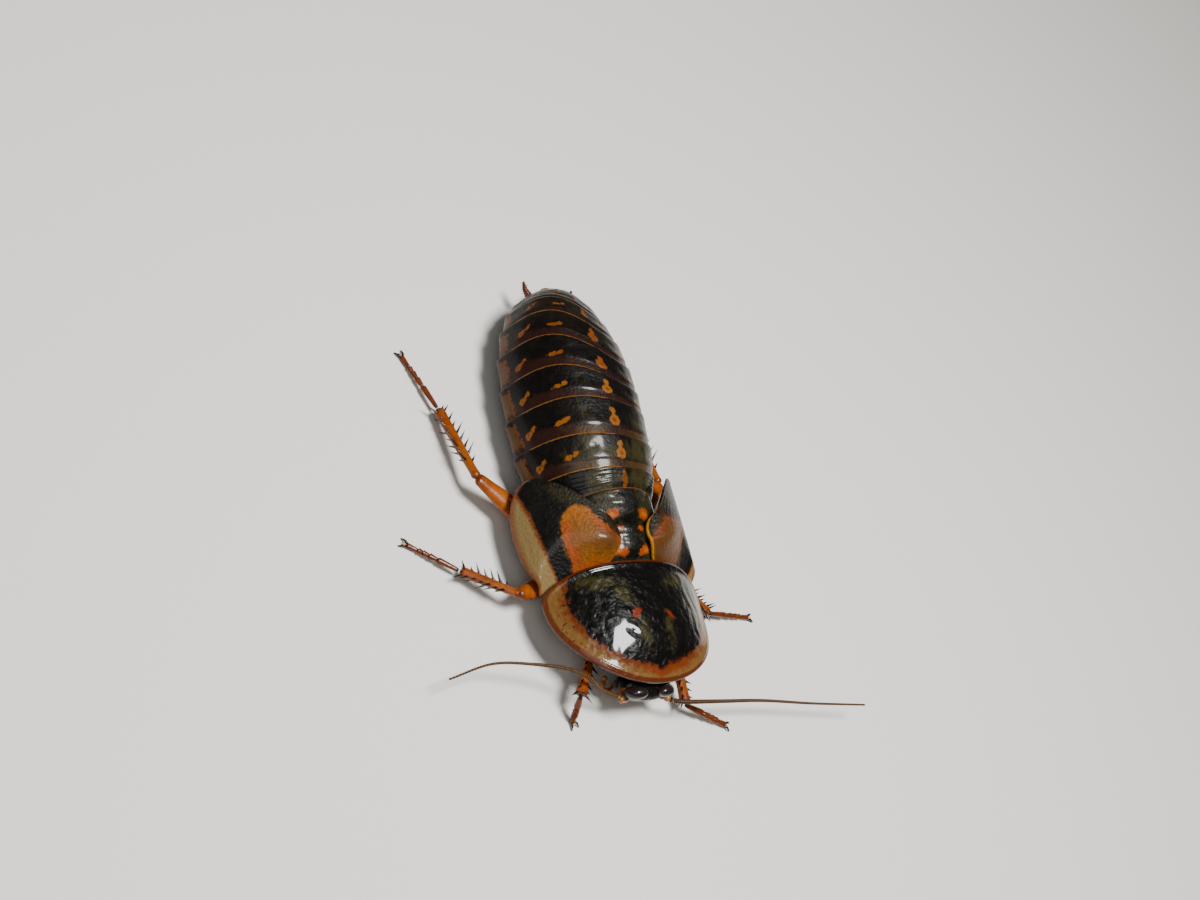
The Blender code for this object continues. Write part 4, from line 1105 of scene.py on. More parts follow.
@dataclass
class Abdomen:
    """Ten overlapping rings, each a hard back plate and belly plate, widest at a third of its length."""
    swing: Swing = Swing()
    start: float = 17.7
    end: float = 41.3
    widest: float = 24.8
    half_width: float = 7.4
    height: float = 6.65
    margin_z: float = 3.2
    rise: float = 0.55
    belly_drop: float = 1.9
    narrowing: float = 1.3
    tuck: float = 0.35         # how far a ring's front lies under the ring before
    rows: int = 34
    columns: int = 272

    def half_width_at(self, y: Array) -> Array:
        """Gives the half width: half width * sqrt(1 - t^3.2), pinched where it meets the thorax."""
        t = np.clip((y - self.widest) / (self.end - self.widest), 0, 1)
        pinch = self.narrowing * np.clip((self.widest - y) / (self.widest - self.start), 0, None) ** 2
        return self.half_width * np.sqrt(np.clip(1 - t ** 3.2, 0.002, 1)) - pinch

    def section(self, y: Array, grow: Array) -> Section:
        """Gives the cross section at a place, larger all round by grow."""
        width = self.half_width_at(y)
        share = width / self.half_width
        margin = self.margin_z + self.rise * np.clip((y - self.start) / (self.end - self.start), 0, 1) ** 1.5
        belly = self.belly_drop * share ** 0.6 * np.minimum(1, 0.35 + 0.65 * (y - self.start) / 3.5)
        return Section(width + grow, margin, self.height * share ** 0.95 + grow, belly + 0.5 * grow,
                       np.zeros_like(y))

    def build(self) -> None:
        """Builds every ring with its rear edge lying over the front of the next."""
        piece = Piece("abdomen_plates", (TERGITE_CHITIN,))
        front = self.start
        for number, ring in enumerate(RINGS, start=1):
            self.add_ring(piece, number, ring, front)
            front = ring.rear
        piece.build(Slot.PLATE, ("abdomen",), sharp=60.0)

    def add_ring(self, piece: Piece, number: int, ring: Ring, front: float) -> None:
        """Adds one ring: its outer face swells to the rear edge, rolls over it and turns inwards.

        Args:
            piece: the piece that gathers the rings.
            number: which ring it is, 1 next to the thorax.
            ring: its rear edge and marks.
            front: where it comes out from under the ring before.
        """
        length = ring.rear - front
        tuck = 0.0 if number == 1 else self.tuck
        along = np.concatenate([[-tuck / length], np.linspace(0.0, 1.0, self.rows - 4), [1.012, 1.005, 0.94]])
        grow = np.interp(along, [-0.3, 0.0, 0.25, 0.7, 0.93, 1.0], [-0.26, -0.2, -0.13, -0.06, 0.0, -0.01])
        grow[-3:] = (-0.06, -0.14, -0.24)
        angle = turns(self.columns)[None, :]
        line = front + along[:, None] * length
        width = self.half_width_at(line)
        sweep = ring.bow * np.abs(np.cos(angle)) ** 2.2
        y = np.clip(line + sweep * (1 if number > 1 else along[:, None]), self.start, self.end - 0.02)
        corner = 0.16 * np.clip(along, 0, 1)[:, None] ** 3 * np.abs(np.cos(angle)) ** 12
        section = self.section(y, grow[:, None] + corner * (width > 2.0))
        x, z = section.ring(angle)
        back = np.broadcast_to(np.sin(angle) > -0.02, x.shape)
        z = z + np.where(back, self.relief(number, x, line, along[:, None], width), 0)
        share = np.clip(x / np.maximum(section.half_width, 0.1), -1, 1)
        grid = self.swing.bend(np.stack([x, self.swing.rim_place(y, share), z], axis=-1))
        piece.add_grid(grid, marks=self.marks(number, ring, x, y, z, along[:, None], line, sweep))

    def relief(self, number: int, x: Array, line: Array, along: Array,
               width: Array) -> Array:
        """Adds a low keel, the step behind the smooth band and faint muscle dimples.

        The step is a rise of 0.05 mm at a quarter of the ring, the dimples are small ellipses, and
        the first ring has wrinkles across it, a wave of 0.4 mm that wanders along the ring.
        """
        keel = 0.05 * np.exp(-(x / 0.5) ** 2) * ease(along, 0.1, 0.5)
        step = 0.05 * ease(along, 0.24, 0.3) - 0.05 * ease(along, 0.3, 0.6)
        share = np.abs(x) / np.maximum(width, 0.5)
        dimple = -0.05 * np.exp(-((share - 0.36) / 0.05) ** 2 - ((along - 0.62) / 0.1) ** 2)
        wrinkle = 0.02 * np.sin(16 * line + 1.2 * np.sin(1.3 * x)) * ease(along, 0.05, 0.3) * (number == 1)
        return (keel + step + dimple) * ease(width, 1.0, 3.0) + wrinkle

    def way_round(self, mirror: Array, z: Array) -> tuple[Array, Array]:
        """Measures the way over the back from the middle line to each point, and on to the margin.

        It adds up the steps between neighbouring points of a ring, on the left and the right side.
        """
        step = np.hypot(*(np.diff(value, axis=1, prepend=value[:, -1:]) for value in (mirror, z)))
        quarter = self.columns // 4
        left = np.cumsum(step[:, 1:quarter + 1][:, ::-1], axis=1)[:, ::-1]
        whole = np.maximum(left[:, :1], 0.5)
        arc = np.full(z.shape, ON_BELLY)
        arc[:, :quarter] = left
        arc[:, :1] = whole
        arc[:, quarter] = 0.0
        arc[:, quarter + 1:2 * quarter + 1] = np.cumsum(step[:, quarter + 1:2 * quarter + 1], axis=1)
        return arc, whole

    def marks(self, number: int, ring: Ring, x: Array, y: Array, z: Array, along: Array,
              line: Array, sweep: Array) -> Marks:
        """Works out one ring's pattern.

        From its front: a smooth brown band, with a painted sheen on the first rings, then a row of ochre
        marks with one on the middle line, one half way down and one low on each side, then black, then the
        dark lip of the rear edge, with a painted highlight along it high on the right side.
        A brown block lies on the margin. Distances down the side are shares of the way round.

        Args:
            number: which ring it is.
            ring: its rear edge and marks.
            x: place across before the bend of the tail, mm.
            y: place along, mm.
            z: height, mm.
            along: share of the ring's length.
            line: place along of the same point of the middle line, mm.
            sweep: how far the ring's rear edge sweeps back there.

        Returns:
            The ring's marks.
        """
        arc, whole = self.way_round(np.abs(x), z)
        share = arc / whole
        down = y - line[1, 0] - sweep
        length = line[-4, 0] - line[1, 0]
        ochre = core = far = np.full(x.shape, FAR)
        if ring.ochre:
            ochre, core = self.ochre_marks(number, ring, arc, whole, down, np.abs(x))
        band_width = (0.24 if number > 1 else 0.1) * length * (1 + 0.6 * ease(share, 0.35, 0.8))
        band = np.where(share < 0.97, band_width - down, -1.0)
        olive = ring.olive - np.abs(share - 0.24) * 3.2 - 0.3 * np.abs(down - 0.5 * length)
        lip = np.where(along > 0.5, down + 0.07 - length, FAR)
        within = np.minimum(down - 0.2 * length, 0.86 * length - down)
        block_top = whole * (0.895 + 0.02 * (down / length - 0.5))
        on_back = arc < ON_BELLY
        block = np.where(on_back, np.minimum(arc - block_top, within), -1.0)
        under = np.where(on_back, block, 0.3 - (self.section(y, 0).margin - z))
        return {
            "olive": np.where(share < 1, olive, -2.0),
            "band": band,
            # Painted sheen: pale colour on the smooth band of the first rings, where a shine would lie.
            "sheen": np.where(band > 0, ring.sheen - np.abs(share - 0.26) * 3.0, -2.0),
            "ochre": ochre,
            "core": core,
            "russet": ochre if number > 4 else far,
            "tail": (y - 35.0) * 0.25 - 0.6,
            "block": np.maximum(block, np.minimum(under, within)) - 0.05 * max(number - 6, 0),
            "block_core": block - 0.35,
            "lip": lip,
            # Painted highlight: the rims turn lighter amber only high on the right side, where light catches
            # them, and not on the last rings.
            "lip_light": np.minimum(lip + 0.01, np.minimum(-0.3 - x, z - 5.2)) - (number > 6),
        }

    @staticmethod
    def ochre_marks(number: int, ring: Ring, arc: Array, whole: Array, down: Array,
                    mirror: Array) -> tuple[Array, Array]:
        """Places the ochre marks of one ring, and the brown hearts of the larger ones.

        The middle mark is a bulb, a stem and a knob, each mark on the side two ellipses end to end.
        """
        if number == 1:
            streak = ellipse_field(mirror, down, (0, 1.1), (0.24, 0.8))
            return streak, streak
        size = ring.ochre
        row = 1.35 * min(1.0, 0.55 + 0.45 * size)
        neck = 0.92 if number < 5 else 0.75
        bulb = ellipse_field(mirror, down, (0, row), (0.58 * size, 0.5 * size))
        knob = ellipse_field(mirror, down, (0, row + neck * size), (0.3 * size, 0.34 * size))
        stem = ellipse_field(mirror, down, (0, row + 0.5 * size), (0.2 * size, 0.55 * size))
        from_bar, from_flank = arc - whole * ring.bar, arc - whole * ring.flank
        bar = widest_of(
            ellipse_field(from_bar, down, (0.3, row - 0.08), (0.5 * size, 0.2 * size), -6),
            ellipse_field(from_bar, down, (-0.42, row + 0.1), (0.34 * size, 0.2 * size), -25))
        flank = widest_of(
            ellipse_field(from_flank, down, (0.25, row - 0.1), (0.4 * size, 0.3 * size), -30),
            ellipse_field(from_flank, down, (-0.35, row + 0.2), (0.4 * size, 0.16 * size), -30))
        return widest_of(bulb, knob, stem, bar, flank), widest_of(bulb - 0.3, flank - 0.2, bar - 0.17)


@dataclass
class TailEnd:
    """The small end plate and the pair of short ringed cerci beside it."""
    plate_path: tuple = ((0, 41.55, 3.4), (0, 42.0, 3.35), (0, 42.4, 3.3))
    plate_radii: tuple = (1.0, 0.85, 0.4)
    cercus_path: tuple = ((2.3, 41.1, 3.3), (2.65, 41.8, 3.35), (2.8, 42.5, 3.5))
    swing: Swing = Swing()
    cercus_radius: float = 0.36
    cercus_tip: float = 0.1
    rings: int = 7

    def build(self) -> None:
        """Builds the plate and both cerci."""
        path = self.swing.bend(curve_through(self.plate_path, 24))
        radii = np.interp(shares(24), (0, 0.5, 1), self.plate_radii)
        radii = radii * np.sqrt(np.clip(1 - np.linspace(-0.35, 1, 24) ** 6, 0.05, 1))
        plate = Piece("tail_end_plate", (TERGITE_CHITIN,))
        plate.add_grid(tube_grid(path, radii, 48, flat=0.45), marks={"tail": 0.4})
        plate.build(Slot.PLATE, ("tail_plate",))
        for side in (LEFT, RIGHT):
            self.build_cercus(side)

    def build_cercus(self, side: int) -> None:
        """Builds one cercus, a cone whose rings swell slightly, with fine bristles."""
        path = self.swing.bend(curve_through(self.cercus_path, 64) * (side, 1, 1))
        t = shares(64)
        swell = 1 + 0.1 * np.abs(np.sin(math.pi * self.rings * t))
        radii = (self.cercus_radius + (self.cercus_tip - self.cercus_radius) * t ** 1.3) * swell
        name = "cercus_" + SIDE_NAMES[side]
        cercus = Piece(name + "_ringed", (FOOT_CHITIN, BRISTLE_CHITIN))
        joint = 0.1 - 0.35 * np.abs(np.sin(math.pi * self.rings * t))
        cercus.add_grid(tube_grid(path, radii * 0.97, 28), marks={"joint": joint[:, None]})
        add_bristles(cercus, path, radii, count=40, length=0.32, finish=1, seed=5)
        cercus.build(Slot.PLATE, (name,))


def add_bristles(piece: Piece, path: Points, radii: Array, count: int, length: float, finish: int,
                 seed: int, thick: float = 0.022, span: tuple = (0.04, 0.96)) -> None:
    """Sets short stiff hairs round a limb, each a three-sided cone that leans to the limb's tip.

    Args:
        piece: the piece that carries them.
        path: the limb's middle line.
        radii: its radius along the line.
        count: how many hairs.
        length: their mean length, mm.
        finish: which of the piece's finishes they wear.
        seed: fixes their scatter.
        thick: their radius at the root, mm.
        span: the stretch of the limb that carries them, as shares of its length.
    """
    chance = np.random.default_rng(seed)
    place = chance.uniform(*span, count) * (len(path) - 1)
    turn = chance.uniform(0, 2 * math.pi, count)
    long = length * chance.uniform(0.7, 1.3, count)
    steps = np.arange(len(path))
    root = np.stack([np.interp(place, steps, path[:, axis]) for axis in range(3)], axis=1)
    ahead = unit(np.gradient(path, axis=0))[np.clip(place.astype(int), 0, len(path) - 1)]
    side = unit(np.cross(ahead, (0.13, 0.21, 0.97)))
    out = np.cos(turn)[:, None] * side + np.sin(turn)[:, None] * np.cross(side, ahead)
    start = root + out * (np.interp(place, steps, radii) * 0.9)[:, None]
    tip = start + (0.75 * out + 0.66 * ahead) * long[:, None]
    across = np.cross(out, ahead)
    third = 2 * math.pi / 3
    ring = np.stack([start + thick * (math.cos(k * third) * across + math.sin(k * third) * ahead)
                     for k in range(3)], axis=1)
    cloud = np.concatenate([ring, tip[:, None, :]], axis=1).reshape(-1, 3)
    first = 4 * np.arange(count)[:, None]
    faces = np.concatenate([first + np.array(face) for face in ((0, 1, 3), (1, 2, 3), (2, 0, 3), (2, 1, 0))])
    piece.add_faces(keep_above(cloud, 0.02), np.zeros((0, 4), dtype=int), faces, finish, {})


@dataclass
class Head:
    """The head, bent down under the shield, seen from in front as a rounded pear shape."""
    top: tuple = (0.0, -0.15, 4.75)
    down: tuple = (0.0, 0.4984, -0.8670)
    out: tuple = (0.0, -0.867, -0.4984)
    outline: tuple = ((0.0, 1.2, 0.62, 0.0), (0.35, 2.1, 1.15, 0.0), (1.0, 2.72, 1.4, 0.02),
                      (1.9, 2.78, 1.5, 0.05), (2.8, 2.2, 1.4, 0.1), (3.5, 1.6, 1.15, 0.15),
                      (3.9, 1.25, 0.9, 0.15))    # way down, half width, depth and lean forward
    eye_centre: tuple = (1.7, -0.35, 4.3)
    eye_radii: tuple = (0.75, 0.62, 1.15)
    eye_tilt: float = 58.0
    socket: tuple = (2.35, 1.35, 1.0)
    jaw: tuple = ((1.0, 3.3, 0.1), (1.12, 3.9, 0.15), (0.85, 4.4, 0.12), (0.35, 4.6, 0.1))
    rows: int = 96
    columns: int = 160

    def at(self, across: float, down: float, out: float) -> Points:
        """Gives the point at a place on the head: across, down from its crown, and out in front."""
        return (np.array(self.top) + np.array((across, 0, 0)) + down * np.array(self.down)
                + out * np.array(self.out))

    def build(self) -> None:
        """Builds the capsule with its sutures, the lip, the jaws and the eyes."""
        piece = Piece("head_capsule", (HEAD_CHITIN, PALP_CHITIN, SPINE_CHITIN))
        down = np.linspace(0.0, self.outline[-1][0], self.rows)
        wide, deep, lean = (profile(self.outline, down, column)[:, None] for column in (1, 2, 3))
        crown = np.sqrt(np.clip(1 - (1 - np.clip(down / 0.5, 0.02, 1)) ** 2, 0.03, 1))[:, None]
        angle = turns(self.columns)[None, :]
        across = wide * crown * signed_power(np.cos(angle), 0.9)
        front = signed_power(np.sin(angle), 0.9)
        out = lean + deep * crown * front
        face = ease(front, 0.1, 0.5)
        dent = -0.08 * np.exp(-((np.abs(across) - 1.0) / 0.3) ** 2 - ((down[:, None] - 2.5) / 0.5) ** 2)
        seam_line = np.minimum(np.abs(down[:, None] - 3.05 + 0.25 * (across / 1.5) ** 2),
                               np.abs(np.abs(across) - 0.55 * np.clip(down[:, None] - 0.9, 0, 1.2))
                               + 4 * (down[:, None] > 2.1))
        seam = -0.05 * np.exp(-(seam_line / 0.06) ** 2)
        out = out + (dent + seam) * face
        grid = (np.array(self.top) + across[..., None] * np.array((1.0, 0, 0))
                + down[:, None, None] * np.array(self.down) + out[..., None] * np.array(self.out))
        mirror, down = np.abs(across), down[:, None]
        ember = widest_of(ellipse_field(mirror, down, (1.75, 2.0), (0.95, 0.9)),
                          np.broadcast_to(down - 3.0, mirror.shape) * 0.6,
                          ellipse_field(mirror, down, (2.4, 0.9), (0.5, 0.5)))
        ocellus = ellipse_field(mirror, down, (1.05, 1.35), (0.24, 0.2))
        piece.add_grid(grid, marks={"ember": np.where(front > 0, ember, -1.0),
                                    "ocellus": np.where(front > 0.2, ocellus, -1.0),
                                    "seam": np.where(front > 0.2, 0.04 - seam_line, -1.0)})
        self.add_lip(piece)
        for side in (LEFT, RIGHT):
            self.add_jaw(piece, side)
            self.add_socket(piece, side)
        piece.build(Slot.SHELL, ("head",))
        for side in (LEFT, RIGHT):
            self.build_eye(side)

    def add_lip(self, piece: Piece) -> None:
        """Adds the upper lip, a small rounded flap in front of the jaws."""
        t = shares(26)
        line = np.stack([self.at(0, 3.55 + 1.2 * step, 0.62 - 0.12 * step) for step in t])
        width = 0.9 * np.sqrt(np.clip(1 - (0.15 + 0.82 * t) ** 5, 0.03, 1))
        piece.add_grid(tube_grid(line, width, 48, flat=0.36, up=self.out), finish=1,
                       marks={"joint": (0.12 - t * 0.8)[:, None]})

    def add_jaw(self, piece: Piece, side: int) -> None:
        """Adds one mandible, a curved tooth that closes under the lip."""
        line = curve_through([self.at(side * across, down, out) for across, down, out in self.jaw], 22)
        radii = np.linspace(0.42, 0.08, 22)
        piece.add_grid(tube_grid(line, radii, 20, flat=0.8, up=self.out), finish=2)

    def add_socket(self, piece: Piece, side: int) -> None:
        """Adds the raised ring in which a feeler turns."""
        centre = self.at(side * self.socket[0], self.socket[1], self.socket[2])
        normal = unit(np.array(self.out) + np.array((0.9 * side, 0, 0)))
        first = level_side(normal)
        second = np.cross(normal, first)
        turn = turns(36)[:, None]
        line = shares(9)
        radii = 0.5 + 0.1 * np.sin(line * math.pi)
        height = -0.3 + 0.5 * line
        grid = np.stack([centre + radius * (np.cos(turn) * first + np.sin(turn) * second) + rise * normal
                         for radius, rise in zip(radii, height)])
        piece.add_grid(grid, finish=1, marks={"joint": 0.05})

    def build_eye(self, side: int) -> None:
        """Builds one compound eye, a kidney-shaped dome that wraps the corner of the head."""
        tilt = math.radians(self.eye_tilt)
        down = unit(np.array(self.down))
        out = unit(np.array(self.out))
        outward = np.array((side, 0.0, 0.0))
        long_axis = unit(math.cos(tilt) * down + math.sin(tilt) * outward)
        wide_axis = unit(math.cos(tilt) * outward - math.sin(tilt) * down)
        centre = np.array(self.eye_centre) * (side, 1, 1)
        grid = ball_grid(centre, np.stack([wide_axis, out, long_axis]), self.eye_radii, rows=56, columns=72)
        along = (grid - centre) @ long_axis
        grid = grid + 0.08 * np.exp(-(along / 0.45) ** 2)[..., None] * wide_axis
        name = "eye_" + SIDE_NAMES[side]
        eye = Piece(name + "_lens", (EYE_LENS,))
        eye.add_grid(grid)
        eye.build(Slot.EYE, (name,))


@dataclass
class Palps:
    """The feeding palps of one side: the longer one of five joints and the shorter one of three."""
    side: int
    head: Head
    long_route: tuple
    short_route: tuple = ((0.75, 3.95, 0.2), (1.0, 4.45, 0.35), (0.85, 4.95, 0.5), (0.6, 5.1, 0.75))
    radius: float = 0.3
    lowest: float = 0.45       # height of the middle line where a palp nears the floor
    rows: int = 90

    def build(self) -> None:
        """Builds both palps as swelling joints on one piece, kept clear of the floor."""
        name = "palps_" + SIDE_NAMES[self.side]
        piece = Piece(name + "_jointed", (PALP_CHITIN, BRISTLE_CHITIN))
        short_route = [self.head.at(self.side * across, down, out) for across, down, out in self.short_route]
        routes = ((self.long_route, self.radius, 5), (short_route, self.radius * 0.6, 3))
        for number, (route, radius, joints) in enumerate(routes):
            line = even_steps(curve_through(route, self.rows), self.rows)
            line[:, 2] = np.maximum(line[:, 2], self.lowest)
            t = shares(self.rows)
            phase = np.abs(np.sin(math.pi * joints * t))
            club = 0.72 + 0.38 * t ** 2
            radii = radius * club * (0.62 + 0.38 * phase ** 0.55)
            radii = radii * np.sqrt(np.clip(1 - (t / 1.002) ** 24, 0.02, 1))
            piece.add_grid(tube_grid(line, radii, 26, up=(0.3, 0.2, 1.0)),
                           marks={"joint": (0.3 - phase)[:, None]})
            add_bristles(piece, line, radii, count=50 - 25 * number, length=0.2, finish=1, seed=30 + number,
                         thick=0.014)
        piece.build(Slot.PALP, (name,))


@dataclass
class Feeler:
    """One antenna: a stout first joint, a short second one and a long whip of beads."""
    side: int
    route: tuple
    base_length: float = 0.8
    scape_radius: float = 0.34
    pedicel_radius: float = 0.27
    base_radius: float = 0.24
    tip_radius: float = 0.1
    bead_first: float = 0.17   # length of the first bead, and of the last
    bead_last: float = 0.34
    rows_per_bead: int = 7

    def build(self) -> None:
        """Builds the base joints and the whip."""
        start = np.array(self.route[0])
        ahead = unit(np.array(self.route[1]) - start)
        self.build_base(start, ahead)
        begin = start + ahead * (self.base_length + GAP * 0.6)
        line = even_steps(curve_through([begin, *self.route[2:]], 600), 900)
        self.build_whip(line)

    def build_base(self, start: Points, ahead: Points) -> None:
        """Builds the scape, an egg-shaped joint, and the small ring of the pedicel."""
        name = "antenna_base_" + SIDE_NAMES[self.side]
        piece = Piece(name + "_joints", (FEELER_CHITIN, PALP_CHITIN))
        t = shares(40)
        line = start + t[:, None] * ahead * (self.base_length * 0.8)
        bulge = self.scape_radius * np.sin(math.pi * (0.16 + 0.72 * t)) ** 0.7
        piece.add_grid(tube_grid(line, bulge * np.sqrt(np.clip(1 - (t / 1.01) ** 14, 0.02, 1)), 32),
                       finish=1, marks={"joint": -1.0})
        ring_line = start + ahead * self.base_length * (0.78 + 0.34 * t[:, None])
        ring = self.pedicel_radius * np.sin(math.pi * (0.12 + 0.76 * t)) ** 0.5
        piece.add_grid(tube_grid(ring_line, ring, 28), marks={"ring": (t * 0.1 - 0.08)[:, None]})
        piece.build(Slot.FEELER, (name,))

    def build_whip(self, line: Points) -> None:
        """Builds the flagellum: each bead swells to its far end, then pinches to a pale joint."""
        total = np.linalg.norm(np.diff(line, axis=0), axis=1).sum()
        count = int(total / ((self.bead_first + self.bead_last) / 2))
        bead = np.repeat(np.arange(count), self.rows_per_bead)
        within = np.tile(np.linspace(0, 1, self.rows_per_bead, endpoint=False), count)
        stretch = self.bead_last / self.bead_first
        order = (bead + within) / count
        place = (order + (stretch - 1) / 2 * order ** 2) / (1 + (stretch - 1) / 2)
        share = shares(len(line))
        path = np.stack([np.interp(place, share, line[:, axis]) for axis in range(3)], axis=1)
        taper = self.base_radius + (self.tip_radius - self.base_radius) * place ** 0.7
        shape = np.interp(within, (0, 0.14, 0.3, 0.7, 0.86, 1.0), (0.74, 0.93, 1.0, 1.06, 1.0, 0.78))
        ring = 0.035 - np.minimum(within, 1 - within) * 0.3
        name = "antenna_" + SIDE_NAMES[self.side]
        piece = Piece(name + "_whip", (FEELER_CHITIN, BRISTLE_CHITIN))
        piece.add_grid(tube_grid(path, taper * shape, 14), marks={"ring": ring[:, None]})
        add_bristles(piece, path, taper, count=420, length=0.09, finish=1, seed=50 + self.side, thick=0.009,
                     span=(0.0, 0.995))
        piece.build(Slot.FEELER, (name,))


@dataclass(frozen=True)
class LegSize:
    """The half widths of one pair of legs, and the spines of its shins."""
    coxa: float
    femur: float
    tibia: float
    tarsus: float
    spines_per_row: int
    spine: float               # their length


@dataclass
class Leg:
    """One leg: hip plate, thigh, spined shin and a foot of five joints with pads and two claws."""
    name: str
    side: int
    size: LegSize
    hip: tuple
    elbow: tuple
    knee: tuple
    ankle: tuple
    toe: tuple
    coxa_widths: tuple = ((0, 0.75), (0.12, 1.0), (0.45, 1.05), (0.8, 0.75), (1, 0.45))    # place and width
    ring_widths: tuple = ((0, 0.7), (0.4, 1.0), (1, 0.8))
    femur_widths: tuple = ((0, 0.45), (0.08, 0.75), (0.3, 1.0), (0.55, 0.93), (0.8, 0.7), (0.93, 0.6),
                           (1, 0.5))
    tibia_widths: tuple = ((0, 0.7), (0.05, 0.95), (0.12, 0.85), (0.4, 0.95), (0.8, 1.05), (0.95, 1.15),
                           (1, 0.8))
    claw_length: float = 0.75
    foot_steps: int = 200
    foot_joints: tuple = (0.0, 0.42, 0.58, 0.7, 0.79, 1.0)    # where each joint of the foot ends
    spine_radius: float = 0.14
    spine_rows: tuple = (35, 150, 255)        # angle of each row round the shin, degrees
    spine_crown: tuple = (15, 80, 165, 330)   # angles of the spines round its end

    def build(self) -> None:
        """Builds the four pieces of the leg."""
        hip, elbow, knee, ankle, toe = (np.array(p, dtype=float) for p in
                                        (self.hip, self.elbow, self.knee, self.ankle, self.toe))
        self.build_coxa(hip, elbow)
        self.build_femur(elbow, knee)
        self.build_tibia(knee, ankle)
        self.build_tarsus(ankle, toe)

    @staticmethod
    def shorten(start: Points, end: Points, first: float, last: float) -> tuple[Points, Points]:
        """Cuts a length off each end of a stretch."""
        ahead = unit(end - start)
        return start + ahead * first, end - ahead * last

    @staticmethod
    def limb(start: Points, end: Points, table: tuple, radius: float, flat: float,
             rows: int = 60) -> tuple[Points, Array, Points]:
        """Shapes one joint of the leg: a round-ended tube whose width follows a small table.

        Args:
            start: where it begins.
            end: where it ends.
            table: pairs of place along it and width, as shares.
            radius: its greatest half width.
            flat: height as a share of width.
            rows: rings along it.

        Returns:
            Its middle line, its radii and its grid.
        """
        t = shares(rows)
        line = start + t[:, None] * (end - start)
        cap = np.sqrt(np.clip(1 - (1 - np.clip(np.minimum(t, 1 - t) / 0.05, 0, 1)) ** 2, 0.04, 1))
        radii = radius * profile(table, t) * cap
        return line, radii, tube_grid(line, radii, 36, flat)

    def build_coxa(self, hip: Points, elbow: Points) -> None:
        """Builds the broad flat hip joint, folded back against the belly."""
        start, end = self.shorten(hip, elbow, 0.0, 0.5)
        line, radii, grid = self.limb(start, end, self.coxa_widths, self.size.coxa, 1.0)
        ahead = unit(end - start)
        side = level_side(ahead)
        offset = (grid - line[:, None, :]) @ side
        grid = grid + offset[..., None] * side * 0.7
        keel = np.exp(-((offset / np.maximum(radii[:, None], 0.05)) / 0.25) ** 2)
        grid[..., 2] += np.where(grid[..., 2] < line[:, None, 2], -0.04, 0.0) * keel
        t = shares(len(line))[:, None]
        name = "coxa_" + self.name
        piece = Piece(name + "_hip", (LEG_CHITIN,))
        joint = np.maximum(t - 0.93, 0.03 - t) * 4
        piece.add_grid(grid, marks={"joint": joint, "pale": 0.3 - np.abs(t - 0.5)})
        piece.build(Slot.LEG, (name,))

    def build_femur(self, elbow: Points, knee: Points) -> None:
        """Builds the thigh with its small second joint, a groove below and a few short spines."""
        start, end = self.shorten(elbow, knee, 1.05, -0.12)
        line, radii, grid = self.limb(start, end, self.femur_widths, self.size.femur, 0.7, rows=90)
        t = shares(len(line))
        below = ease(line[:, None, 2] - grid[..., 2], 0.1, 0.5) * ease(t, 0.1, 0.25)[:, None]
        grid[..., 2] += 0.08 * below
        name = "femur_" + self.name
        piece = Piece(name + "_thigh", (LEG_CHITIN, SPINE_CHITIN, BRISTLE_CHITIN))
        joint = np.maximum(t - 0.94, 0.04 - t)[:, None] * 5
        piece.add_grid(grid, marks={"joint": joint, "pale": (0.35 - np.abs(t - 0.4))[:, None]})
        ring_start = elbow + unit(knee - elbow) * 0.62
        ahead = unit(end - start)
        ring = self.limb(ring_start, start + ahead * 0.25, self.ring_widths,
                         self.size.femur * 0.52, 0.8, rows=24)[-1]
        piece.add_grid(ring, marks={"joint": 0.1, "pale": -1.0})
        aside = level_side(ahead) * -self.side
        for place in (0.35, 0.5, 0.65, 0.8):
            root = start + (end - start) * place
            way = 1 if place in (0.35, 0.65) else -1
            out = unit(aside * 0.5 * way + upwards(-1.0) + 0.6 * ahead)
            width = self.size.femur * float(np.interp(place, (0, 0.3, 0.8, 1), (0.5, 1, 0.75, 0.5))) * 0.62
            self.add_spine(piece, root + out * width * 0.8, out, 0.42, 0.07)
        tip_side = unit(ahead + 0.6 * aside)
        self.add_spine(piece, end - ahead * 0.35 + aside * 0.2, tip_side, 0.55, 0.09)
        add_bristles(piece, line, radii * 0.85, count=60, length=0.16, finish=2, seed=len(self.name),
                     thick=0.012)
        piece.build(Slot.LEG, (name,))

    @staticmethod
    def add_spine(piece: Piece, root: Points, ahead: Points, length: float, radius: float) -> None:
        """Adds one spine, a slightly curved cone with a swollen root, in the piece's second finish."""
        t = shares(9)
        curl = np.cross(unit(np.cross(ahead, (0.21, 0.13, 0.97))), ahead)
        line = root + t[:, None] * ahead * length + 0.08 * length * (t ** 2)[:, None] * curl
        radii = radius * np.interp(t, (0, 0.12, 0.3, 1), (1.0, 1.05, 0.8, 0.06))
        piece.add_grid(tube_grid(line, radii, 8, up=(0.21, 0.13, 0.97)), finish=1)

